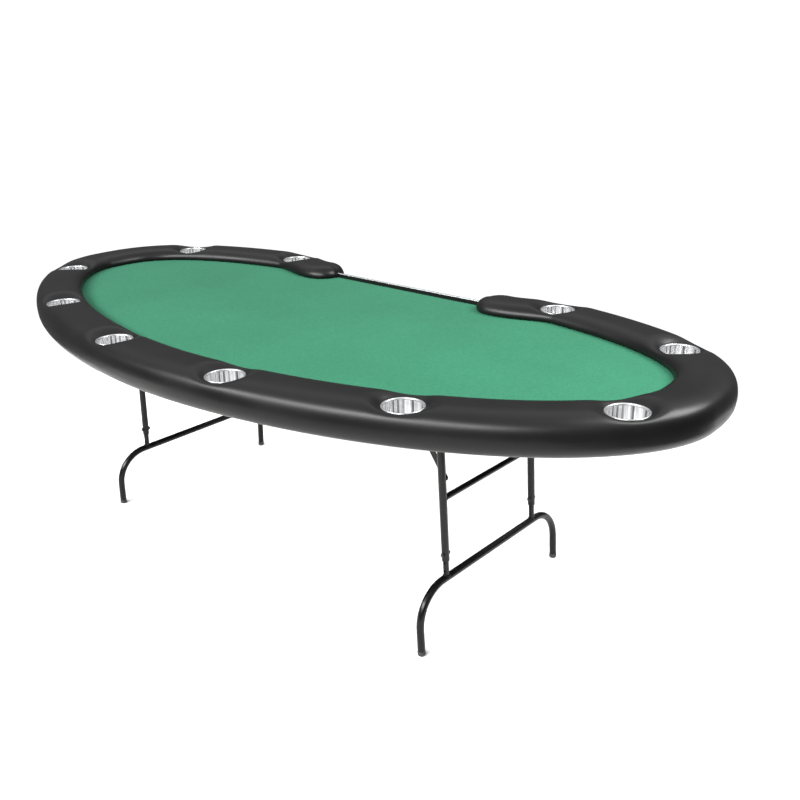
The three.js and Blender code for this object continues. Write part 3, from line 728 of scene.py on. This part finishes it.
vertices, faces = rail_band()
padded_rail = make_piece(
    "padded_rail_cover", vertices, faces, "table_top", leatherette, "leatherette", sharp=RAIL_EDGE)
print("padded rail", len(padded_rail.data.vertices), "vertices")

# %% [markdown]
# The cup holes go right through the padding. A boolean cut with one round punch at each cup opens
# them; the cut edge lies under the cup's lip, so only the smooth bowl shows.

# %% Cup holes
HOLE_RADIUS = CUP_LIP - 3.2 * MM
PUNCH_LOW, PUNCH_HIGH = 600 * MM, 800 * MM
punch = turned([
    (0, PUNCH_LOW), (HOLE_RADIUS, PUNCH_LOW), (HOLE_RADIUS, PUNCH_HIGH), (0, PUNCH_HIGH)], sides=CUP_SIDES)
punches = joined([moved(punch, Matrix.Translation((c.x, c.y, 0))) for c in cup_centres])
cut_out(padded_rail, punches, sharp=RAIL_EDGE)
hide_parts(*rail_names)
print("padded rail after the holes", len(padded_rail.data.vertices), "vertices")

# %% [markdown]
# Under the table the leatherette is turned over the edge of the base panel and stapled. A thin band
# with a slightly uneven inner edge shows this hem, with wire staples along it.

# %% Hem and staples under the edge
def on_line(i, offset):
    """A plan point beside the middle line, positive outwards."""
    return middle[i] + outward[i] * offset


panel_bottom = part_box("base_panel")[0].z
HEM_TOP = panel_bottom - 0.2 * MM
HEM_EDGE, HEM_START = 20 * MM, 44 * MM  # out from the middle line
HEM_THIN, HEM_THICK = 0.9 * MM, 1.3 * MM
HEM_STEP, STAPLE_STEP = 3, 6  # stations
hem_rings = []
for i in range(0, STATIONS + 1, HEM_STEP):
    edge = HEM_EDGE + (1.6 * MM * math.sin(i * 0.071) + 0.9 * MM * math.sin(i * 0.193 + 1))
    ring = []
    for offset, drop in ((HEM_START, 0), (edge, 0), (edge, HEM_THIN), (HEM_START, HEM_THICK)):
        p = on_line(i, offset)
        ring.append(Vector((p.x, p.y, HEM_TOP - drop)))
    hem_rings.append(ring)
vertices, faces = loft(hem_rings)
faces += [(3, 2, 1, 0), tuple(len(vertices) - 4 + k for k in range(4))]
make_piece("leatherette_hem", vertices, faces, "table_top", leatherette, "leatherette")

STAPLE = ((-6, 0), (-6, 0.8), (6, 0.8), (6, 0), (5.2, 0), (5.2, 0.2), (-5.2, 0.2), (-5.2, 0))  # mm
STAPLE_LINE, HALF_WIRE = 29 * MM, 0.5 * MM
staples = []
for i in range(4, STATIONS, STAPLE_STEP):
    p = on_line(i, STAPLE_LINE)
    turn = math.atan2(outward[i].x, -outward[i].y) + 0.25 * math.sin(i * 1.7)
    place = Matrix.Translation((p.x, p.y, HEM_TOP - 1.0 * MM)) @ Matrix.Rotation(turn, 4, "Z")
    rings = [[place @ Vector((x * MM, y, -z * MM)) for x, z in STAPLE] for y in (-HALF_WIRE, HALF_WIRE)]
    vertices, faces = loft(rings)
    faces += [tuple(range(8)), tuple(range(15, 7, -1))]
    staples.append((vertices, faces))
vertices, faces = joined(staples)
make_piece("hem_staples", vertices, faces, "table_top", drawn_steel, "stainless_steel")
print("hem with", len(staples), "staples")

# %% [markdown]
# ## The playing cloth
# The cloth is one flat piece, stretched over foam and clamped under the rail. Under tension it
# lies flat, with waves of a few tenths of a millimetre where the foam is a little uneven. It is
# a single sheet made of rings that run from its edge in to the table's long middle line, and at
# the dealer's place it turns down over the edge of the foam.

# %% Playing cloth
CLOTH_INSET, CLOTH_STRAIGHT_X, CLOTH_CORNER = 127 * MM, 480 * MM, 30 * MM
SPINE_HALF_LENGTH, SPINE_Y = 720 * MM, 20 * MM
CLOTH_SETTLE, CLOTH_TURN_DOWN = 0.3, 0.5  # mm below the solid cloth's top
cloth_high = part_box("playing_cloth")[1]
STRAIGHT_Y, CLOTH_TOP = cloth_high.y, cloth_high.z
border = [
    Vector((p.x, min(p.y, STRAIGHT_Y)))
    for p in evenly(table_line(CLOTH_INSET, CLOTH_STRAIGHT_X, bend=False), 320)]
corner_x = CLOTH_STRAIGHT_X - CLOTH_CORNER
border += evenly([Vector((-corner_x, STRAIGHT_Y)), Vector((corner_x, STRAIGHT_Y))], 80)
shares = [0, 0.004, 0.012, 0.03, 0.06] + [0.1 + 0.9 * k / 15 for k in range(16)]
cloth_rings = []
for share in shares:
    ring = []
    for p in border:
        spine = Vector((min(max(p.x, -SPINE_HALF_LENGTH), SPINE_HALF_LENGTH), SPINE_Y))
        q = p.lerp(spine, share)
        wave = 0.16 * math.sin(q.x * 9 + q.y * 5) + 0.12 * math.sin(q.x * 4 - q.y * 11 + 1)
        turn_down = CLOTH_TURN_DOWN if share == 0 else 0
        lift = wave * min(share * 8, 1) - CLOTH_SETTLE - turn_down
        ring.append(Vector((q.x, q.y, CLOTH_TOP + lift * MM)))
    cloth_rings.append(ring)
vertices, faces = loft(cloth_rings)
cloth = make_piece("playing_cloth_sheet", vertices, faces, "table_top", speed_cloth, "green_cloth")
if sum(face.normal.z * face.area for face in cloth.data.polygons) < 0:
    cloth.data.flip_normals()
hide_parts("playing_cloth")

# %% [markdown]
# ## The dealer's edge
# The dealer's place has no padding. A black ABS strip is fixed to the boards' straight edge and
# stands a little above the cloth, and a half-round aluminium bead runs along its top.

# %% Dealer's edge
EDGE_ROUNDING, BEAD_FOOT, BEAD_STEPS = 1.4 * MM, 0.5 * MM, 12
edge_low, edge_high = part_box("dealer_edge_strip")
bead_low, bead_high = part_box("dealer_edge_bead")


def bar_along_x(section, low_x, high_x):
    """A closed section of (y, z) points drawn from low_x to high_x."""
    rings = [[Vector((x, y, z)) for y, z in section] for x in (low_x, high_x)]
    vertices, faces = loft(rings)
    faces += [tuple(range(len(section))), tuple(range(2 * len(section) - 1, len(section) - 1, -1))]
    return vertices, faces


def rounded_box(low_y, high_y, low_z, high_z, radius, steps=5):
    """A rectangle of (y, z) points with rounded corners."""
    points = []
    for cy, cz, start in (
            (high_y - radius, high_z - radius, 0), (low_y + radius, high_z - radius, 90),
            (low_y + radius, low_z + radius, 180), (high_y - radius, low_z + radius, 270)):
        for k in range(steps + 1):
            angle = math.radians(start + 90 * k / steps)
            points.append((cy + radius * math.cos(angle), cz + radius * math.sin(angle)))
    return points


section = rounded_box(edge_low.y, edge_high.y, edge_low.z, edge_high.z, EDGE_ROUNDING)
vertices, faces = bar_along_x(section, edge_low.x, edge_high.x)
strip = make_piece("dealer_edge_strip_rounded", vertices, faces, "table_top", edging, "black_edging")
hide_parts("dealer_edge_strip")
section = [(bead_low.y, bead_low.z), (bead_high.y, bead_low.z)] + [
    ((bead_low.y + bead_high.y) / 2 + (bead_high.y - bead_low.y) / 2 * math.cos(math.pi * k / BEAD_STEPS),
     bead_low.z + BEAD_FOOT + (bead_high.z - bead_low.z - BEAD_FOOT) * math.sin(math.pi * k / BEAD_STEPS))
    for k in range(BEAD_STEPS + 1)]
vertices, faces = bar_along_x(section, bead_low.x, bead_high.x)
bead = make_piece("dealer_edge_bead_rounded", vertices, faces, "table_top", aluminium, "aluminium_bead")
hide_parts("dealer_edge_bead")
print("dealer's edge", round(edge_high.x - edge_low.x, 3), "m long, top at", round(bead_high.z, 4))

# %% [markdown]
# ## Leg frames
# Each leg frame hinges on a tube that is held under the table by two straps. Its legs are splayed
# by three degrees, so everything on it is drawn in the leg's own axes: the origin on the hinge,
# Y along the hinge and Z up the leg. The loaded frame gives the hinge's place and the leg's
# direction, and a solid part's extent in those axes gives the size of its finished shape.

# %% Axes of each leg
joints = {joint["name"]: joint for joint in frame["joints"]}
leg_axes = {}
for side in ("left", "right"):
    up = -Vector(joints[f"{side}_leg_height"]["axis"]).normalized()
    along_y = Vector((0, 1, 0))
    axes = Matrix((along_y.cross(up), along_y, up)).transposed().to_4x4()
    leg_axes[side] = Matrix.Translation(joints[f"{side}_leg_fold"]["pos_m"]) @ axes


def extent(node, matrix):
    """A solid part's lowest and highest corners in other axes."""
    back = matrix.inverted()
    points = [back @ v.co for v in frame["nodes"][node].data.vertices]
    return (Vector([min(p[i] for p in points) for i in range(3)]),
            Vector([max(p[i] for p in points) for i in range(3)]))


print("legs lean", round(math.degrees(math.acos(leg_axes["left"].col[2].z)), 2), "degrees")

# %% Tubes, bars and weld beads
WALL, INNER_WALL, ROUNDING = 2.3 * MM, 1.5 * MM, 0.5 * MM
BEAD_SIDES, BEAD_POINTS = 8, 64
LAY_ALONG_Y = Matrix.Rotation(math.radians(-90), 4, "X")


def upright_tube(radius, wall, low, high, y):
    """A tube up the leg, with its cut ends rubbed round."""
    profile = [
        (radius - wall, low + ROUNDING), (radius - wall + ROUNDING, low), (radius - ROUNDING, low),
        (radius, low + ROUNDING), (radius, high - ROUNDING), (radius - ROUNDING, high),
        (radius - wall + ROUNDING, high), (radius - wall, high - ROUNDING)]
    return moved(turned(profile, sides=40, closed=True), Matrix.Translation((0, y, 0)))


def rod_along_y(profile, x, z, sides=32):
    """A profile of (radius, y) turned round a line along Y."""
    return moved(turned(profile, sides=sides), Matrix.Translation((x, 0, z)) @ LAY_ALONG_Y)


def weld_bead(points, size):
    """A rippled bead along a closed line: a weld is laid down as a row of overlapping drops."""
    centre = sum(points, Vector()) / len(points)
    turn = [2 * math.pi * k / BEAD_SIDES for k in range(BEAD_SIDES)]
    rings = []
    for i, point in enumerate(points):
        ahead = (points[(i + 1) % len(points)] - points[i - 1]).normalized()
        out = (point - centre).normalized()
        other = ahead.cross(out).normalized()
        out = other.cross(ahead)
        width = size * (1 + 0.16 * math.sin(i * 2 * math.pi / 4))
        rings.append([point + width * (math.cos(a) * out + math.sin(a) * other) for a in turn])
    return loft(rings, closed_path=True)


def saddle(radius, other_radius, y, z, side, upright=True):
    """The line where an upright meets a bar along Y, or where such a bar's end meets an upright."""
    points = []
    for i in range(BEAD_POINTS):
        a = 2 * math.pi * i / BEAD_POINTS
        x, sideways = radius * math.cos(a), radius * math.sin(a)
        rise = side * math.sqrt(max(other_radius ** 2 - x ** 2, 0))
        points.append(Vector((x, y + sideways, z + rise) if upright else (x, y + rise, z + sideways)))
    return points


def coated(name, part, body, matrix, sharp=SHARP_EDGE):
    """A powder-coated piece from a (vertices, faces) part under a matrix."""
    return make_piece(name, *part, body, powder_coat, "black_paint", sharp=sharp, matrix=matrix)


print("tube walls", round(WALL / MM, 1), "and", round(INNER_WALL / MM, 1), "mm")

# %% [markdown]
# The foot bar is one tube with its two ends bent down into feet on a bending machine, so each bend
# is a true quarter circle. Each joint between two tubes has a weld bead laid along the line where
# they meet.

# %% Leg frame pieces
FOOT_BAR_RADIUS = 10.5 * MM
BEND_RADIUS, BEND_STEPS = 100 * MM, 16
PIVOT_WELD, CROSS_WELD, FOOT_WELD = 1.9 * MM, 1.7 * MM, 2.1 * MM
for side in ("left", "right"):
    axes = leg_axes[side]
    leg_body, foot_body = f"{side}_leg_frame", f"{side}_foot_frame"

    low, high = extent(f"{side}_pivot_tube", axes)
    pivot_radius = (high.z - low.z) / 2
    inside = pivot_radius - WALL
    profile = [
        (inside, low.y), (pivot_radius - ROUNDING, low.y), (pivot_radius, low.y + ROUNDING),
        (pivot_radius, high.y - ROUNDING), (pivot_radius - ROUNDING, high.y), (inside, high.y)]
    shape = moved(turned(profile, sides=40, closed=True), LAY_ALONG_Y)
    tube = coated(f"{side}_pivot_tube_round", shape, leg_body, axes)
    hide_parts(f"{side}_pivot_tube")

    low, high = extent(f"{side}_crossbar", axes)
    cross_radius, cross_z = (high.z - low.z) / 2, (high.z + low.z) / 2
    profile = [(0, low.y), (cross_radius, low.y), (cross_radius, high.y), (0, high.y)]
    crossbar = coated(f"{side}_crossbar_round", rod_along_y(profile, 0, cross_z), leg_body, axes)
    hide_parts(f"{side}_crossbar")

    low, high = extent(f"{side}_foot_bar", axes)
    level, foot_y = high.z - FOOT_BAR_RADIUS, high.y - FOOT_BAR_RADIUS
    shoulder, straight_y = level - BEND_RADIUS, foot_y - BEND_RADIUS
    half = [Vector((0, foot_y, low.z + (shoulder - low.z) * k / 4)) for k in range(4)]
    for k in range(BEND_STEPS + 1):
        a = math.radians(90 * k / BEND_STEPS)
        y, z = straight_y + BEND_RADIUS * math.cos(a), shoulder + BEND_RADIUS * math.sin(a)
        half.append(Vector((0, y, z)))
    path = half + [Vector((0, -p.y, p.z)) for p in reversed(half)]
    shape = drawn(path, FOOT_BAR_RADIUS, sides=36)
    bar = coated(f"{side}_foot_bar_bent", shape, foot_body, axes, sharp=SOFT_EDGE)
    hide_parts(f"{side}_foot_bar")

    near_low, near_high = extent(f"{side}_near_inner_tube", axes)
    inner_radius = (near_high.y - near_low.y) / 2
    beads, foot_beads = [], []
    for hand, sign in (("near", -1), ("far", 1)):
        inner_low, inner_high = extent(f"{side}_{hand}_inner_tube", axes)
        y = (inner_low.y + inner_high.y) / 2
        low, high = extent(f"{side}_{hand}_outer_tube", axes)
        tube_radius = (high.x - low.x) / 2
        shape = upright_tube(tube_radius, WALL, low.z, high.z, y)
        tube = coated(f"{side}_{hand}_outer_tube_round", shape, leg_body, axes)
        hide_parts(f"{side}_{hand}_outer_tube")
        beads.append(weld_bead(saddle(tube_radius, pivot_radius, y, 0, -1), PIVOT_WELD))
        cross_line = saddle(cross_radius, tube_radius, y, cross_z, -sign, upright=False)
        beads.append(weld_bead(cross_line, CROSS_WELD))

        shape = upright_tube(inner_radius, INNER_WALL, inner_low.z, inner_high.z, y)
        tube = coated(f"{side}_{hand}_inner_tube_round", shape, foot_body, axes)
        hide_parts(f"{side}_{hand}_inner_tube")
        foot_beads.append(weld_bead(saddle(inner_radius, FOOT_BAR_RADIUS, y, level, 1), FOOT_WELD))
    coated(f"{side}_welds", joined(beads), leg_body, axes, sharp=WELD_EDGE)
    coated(f"{side}_foot_welds", joined(foot_beads), foot_body, axes, sharp=WELD_EDGE)
print("tube radii", round(tube_radius / MM, 2), "and", round(inner_radius / MM, 2), "mm")

# %% [markdown]
# The inner tubes are drilled right through every 25 mm, and a bolt through one of the holes holds
# the table at its height. A moulded plug, made as one turned profile, closes each foot.

# %% Drilled holes, bolts and foot plugs
DRILL_PITCH, DRILL_RADIUS, DRILL_REACH = 25 * MM, 3.8 * MM, 20 * MM
HOLES_BELOW, HOLES_ABOVE = 2, 6


def hex_bolt(y_head, y_nut, z):
    """Head, two washers, shank and nut along Y, with the head and the nut outside their y."""
    head = [(0, -4.4), (4.6, -4.4), (5.7, -3.7), (5.7, -0.9), (0, -0.9)]
    washer = [(3.2, -0.9), (6.8, -0.9), (6.8, 0), (3.2, 0)]
    nut = [(0, 0.9), (5.7, 0.9), (5.7, 4.4), (4.7, 5.0), (0, 5.0)]
    grip = (y_nut - y_head) / MM
    shank = [(0, -1), (3, -1), (3, grip + 6.2), (2.4, grip + 6.8), (0, grip + 6.8)]
    parts = []
    for profile, y, sides in (
            (head, y_head, 6), (washer + washer[:1], y_head, 24), (nut, y_nut, 6),
            ([(r, -h) for r, h in washer + washer[:1]], y_nut, 24), (shank, y_head, 20)):
        parts.append(rod_along_y([(r * MM, y + h * MM) for r, h in profile], 0, z, sides))
    return joined(parts)


plug_profile = [(r * MM, t * MM) for r, t in (
    (0, 0.75), (7, 0.75), (9.4, 1.4), (10.7, 3.2), (11.1, 6), (11.1, 13), (10.8, 13.7), (10.4, 14.0),
    (0, 14.0))]
for side in ("left", "right"):
    axes = leg_axes[side]
    floor_t = -axes.translation.z / axes.col[2].z
    for hand in ("near", "far"):
        low, high = extent(f"{side}_{hand}_inner_tube", axes)
        y = (low.y + high.y) / 2
        outer_tube = frame["nodes"][f"{side}_{hand}_outer_tube"]
        outer_points = [axes.inverted() @ v.co for v in outer_tube.data.vertices]
        head_z = [p.z for p in outer_points if abs(p.y - y) > tube_radius + 1 * MM]
        bolt_z = (min(head_z) + max(head_z)) / 2
        face = tube_radius + 0.1 * MM
        make_piece(
            f"{side}_{hand}_bolt_and_nut", *hex_bolt(y - face, y + face, bolt_z), f"{side}_leg_frame",
            black_zinc, "black_paint", matrix=axes)
        low_y, high_y = y - DRILL_REACH, y + DRILL_REACH
        drill = [(0, low_y), (DRILL_RADIUS, low_y), (DRILL_RADIUS, high_y), (0, high_y)]
        holes = joined([
            rod_along_y(drill, 0, bolt_z + i * DRILL_PITCH, 20)
            for i in range(-HOLES_BELOW, HOLES_ABOVE + 1)])
        cut_out(bpy.data.objects[f"{side}_{hand}_inner_tube_round"], holes, matrix=axes)
        low, high = extent(f"{side}_{hand}_foot_cap", axes)
        foot_y = (low.y + high.y) / 2
        vertices, faces = moved(turned(plug_profile, 36), Matrix.Translation((0, foot_y, floor_t)))
        plug = make_piece(
            f"{side}_{hand}_foot_plug", vertices, faces, f"{side}_foot_frame", moulded, "cap_plastic",
            sharp=SOFT_EDGE, matrix=axes)
        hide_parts(f"{side}_{hand}_foot_cap")
print("holes, bolts and plugs made")

# %% [markdown]
# ## Folding braces
# Each brace is two flat steel links with rounded ends, riveted at the leg, at the elbow and at a
# bracket under the table. The links are stamped, so their edges are slightly rounded.

# %% Braces
LINK_WIDTH, LINK_THICKNESS, LINK_EDGE = 18 * MM, 3 * MM, 0.45 * MM
LINK_END_STEPS = 16
EAR_THICKNESS = 2.8 * MM


def stamped_link(length):
    """A flat link along X with round ends, its thickness along Y from 0."""
    rings = []
    for inset, y in (
            (LINK_EDGE, 0), (0, LINK_EDGE), (0, LINK_THICKNESS - LINK_EDGE), (LINK_EDGE, LINK_THICKNESS)):
        radius, ring = LINK_WIDTH / 2 - inset, []
        for centre_x, start in ((length, -90), (0, 90)):
            for k in range(LINK_END_STEPS + 1):
                a = math.radians(start + 180 * k / LINK_END_STEPS)
                ring.append(Vector((centre_x + radius * math.cos(a), y, radius * math.sin(a))))
        rings.append(ring)
    vertices, faces = loft(rings)
    count = len(rings[0])
    faces += [tuple(range(count)), tuple(range(4 * count - 1, 3 * count - 1, -1))]
    return vertices, faces


def rivet_head(x, y, z, side, size=5.0 * MM):
    """A low dome on a face at y, standing out along side (1 or -1)."""
    dome = [(size, 0), (size, 0.5 * MM), (size * 0.86, 1.4 * MM), (size * 0.6, 2.0 * MM), (0, 2.3 * MM)]
    return rod_along_y([(r, y + side * h) for r, h in dome], x, z, 24)


for side in ("left", "right"):
    hinge = Vector(joints[f"{side}_leg_fold"]["pos_m"])
    lower_end = Vector(joints[f"{side}_brace_lower"]["pos_m"])
    upper_end = Vector(joints[f"{side}_brace_upper"]["pos_m"])
    run = abs(hinge.x - upper_end.x)
    brace_length = (upper_end - lower_end).length
    folded_gap = (hinge - lower_end).length - run
    lengths = {"lower": (brace_length + folded_gap) / 2, "upper": (brace_length - folded_gap) / 2}
    for hand, inward in (("near", 1), ("far", -1)):
        for part, start, finish_at in (("lower", lower_end, upper_end), ("upper", upper_end, lower_end)):
            node = f"{side}_{hand}_brace_{part}_link"
            low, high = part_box(node)
            face_y = low.y if part == "upper" or hand == "near" else high.y - LINK_THICKNESS
            direction = (finish_at - start).normalized()
            cross = direction.cross(Vector((0, 1, 0)))
            turn = Matrix((direction, Vector((0, 1, 0)), cross)).transposed().to_4x4()
            matrix = Matrix.Translation((start.x, face_y, start.z)) @ turn
            inner_face = LINK_THICKNESS if inward > 0 else 0
            rivet_x = 0 if part == "lower" else lengths["upper"]
            shape = joined([stamped_link(lengths[part]), rivet_head(rivet_x, inner_face, 0, inward)])
            link = coated(f"{side}_{hand}_{part}_link_stamped", shape, f"{side}_{part}_links", matrix)
            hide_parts(node)
        low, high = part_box(f"{side}_{hand}_brace_upper_link")
        ear_y = high.y + EAR_THICKNESS if inward > 0 else low.y - EAR_THICKNESS
        make_piece(
            f"{side}_{hand}_bracket_rivet", *rivet_head(upper_end.x, ear_y, upper_end.z, inward, 4.5 * MM),
            "table_top", black_zinc, "black_paint")
print("braces", {k: round(v / MM, 1) for k, v in lengths.items()}, "mm between rivets")

# %% [markdown]
# ## Screws under the table
# Pan-head screws hold the straps, the brackets and the base panel. One small turned head, with the
# recess that the driver fits, is repeated at each place.

# %% Screws
SCREW = [(r * MM, z * MM) for r, z in (
    (0, -0.9), (1.2, -0.9), (1.7, -1.9), (2.4, -2.1), (3.5, -1.7), (4.2, -0.8), (4.3, 0), (0, 0))]
FLANGE = 2.5 * MM  # thickness of the strap's and the bracket's flange
STRAP_SCREW, BRACKET_SCREW, EAR_TO_SCREW = 10 * MM, 5.5 * MM, 11 * MM
RING_SCREW_LINE, RING_SCREW_STEP = 8 * MM, 43
places = []
for side in ("left", "right"):
    for hand in ("near", "far"):
        low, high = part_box(f"{side}_{hand}_pivot_strap")
        y = (low.y + high.y) / 2
        places += [(x, y, high.z - FLANGE) for x in (low.x + STRAP_SCREW, high.x - STRAP_SCREW)]
        low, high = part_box(f"{side}_{hand}_brace_bracket")
        y = high.y - EAR_TO_SCREW if hand == "near" else low.y + EAR_TO_SCREW
        places += [(x, y, high.z - FLANGE) for x in (low.x + BRACKET_SCREW, high.x - BRACKET_SCREW)]
for i in range(20, STATIONS, RING_SCREW_STEP):
    p = on_line(i, RING_SCREW_LINE)
    places.append((p.x, p.y, panel_bottom))
for x in (-0.9, -0.45, 0, 0.45, 0.9):
    places += [(x, y, panel_bottom) for y in (-0.1, 0.2)]
screws = joined([moved(turned(SCREW, 20), Matrix.Translation(p)) for p in places])
make_piece("panel_screws", *screws, "table_top", black_zinc, "black_bolt")
print(len(places), "screws")

# %% [markdown]
# ## Floor and light
# The table stands on a plain pale floor. Two soft lamps stand where a studio would hang its light
# banks: a long one across the front, whose reflection is the bright line along the rolls, and a
# smaller one high on the right that makes the cloth lighter there. The room's ceiling is white and
# its walls are dim, because black leatherette is only as dark as what it mirrors. The camera sees
# a white backdrop instead of the dim walls.

# %% Floor
FLOOR_HALF = 2  # metres
floor_material, tree, shader, place = new_material("painted_studio_floor", "#f4f4f3", 0.85)
roller = add_node(
    tree, "ShaderNodeTexNoise", values={"Scale": per_metre(700), "Detail": 2.0}, links={"Vector": place})
tone = add_node(
    tree, "ShaderNodeValToRGB", links={"Fac": roller.outputs["Fac"]},
    stops=[(0.3, "#f3f3f2"), (0.7, "#f6f6f5")])
tree.links.new(tone.outputs["Color"], shader.inputs["Base Color"])
floor_mesh = bpy.data.meshes.new("floor")
corners = [(x * FLOOR_HALF, y * FLOOR_HALF, 0) for x, y in ((-1, -1), (1, -1), (1, 1), (-1, 1))]
floor_mesh.from_pydata(corners, [], [(0, 1, 2, 3)])
floor_mesh.materials.append(floor_material)
floor = bpy.data.objects.new("floor", floor_mesh)
bpy.context.scene.collection.objects.link(floor)
print("floor", 2 * FLOOR_HALF, "m wide")

# %% Light
WORLD_STRENGTH = 1.32
world = bpy.data.worlds.new("studio")
bpy.context.scene.world = world
world.use_nodes = True
tree = world.node_tree
sky = tree.nodes["Background"]
sky.inputs["Strength"].default_value = WORLD_STRENGTH
direction = add_node(tree, "ShaderNodeTexCoord").outputs["Generated"]
rise = add_node(tree, "ShaderNodeSeparateXYZ", links={"Vector": direction})
room = add_node(
    tree, "ShaderNodeValToRGB", links={"Fac": rise.outputs["Z"]},
    stops=[(0.0, "#666666"), (0.46, "#6a6a6a"), (0.64, "#ffffff")])
seen = add_node(tree, "ShaderNodeLightPath").outputs["Is Camera Ray"]
backdrop = add_node(
    tree, "ShaderNodeMix", {"data_type": "RGBA"}, {7: linear("#e8e8e8")},
    {0: seen, 6: room.outputs["Color"]})
tree.links.new(backdrop.outputs[2], sky.inputs["Color"])
bpy.context.scene.view_settings.view_transform = "Standard"


def lamp(name, place, aim, size, power):
    """A soft rectangular lamp at a place, aimed at a point, with its power in watts."""
    data = bpy.data.lights.new(name, "AREA")
    data.shape = "RECTANGLE"
    data.size, data.size_y = size
    data.energy = power
    made = bpy.data.objects.new(name, data)
    bpy.context.scene.collection.objects.link(made)
    made.location = place
    made.rotation_euler = (Vector(aim) - Vector(place)).to_track_quat("-Z", "Y").to_euler()


lamp("bank_front", (-0.3, -6.0, 4.5), (0, 0, solid_high.z), (9.0, 1.8), 1550)
lamp("bank_right", (2.2, 1.0, 2.6), (0.8, 0.1, solid_high.z), (1.4, 1.4), 120)
print("world and two lamps")
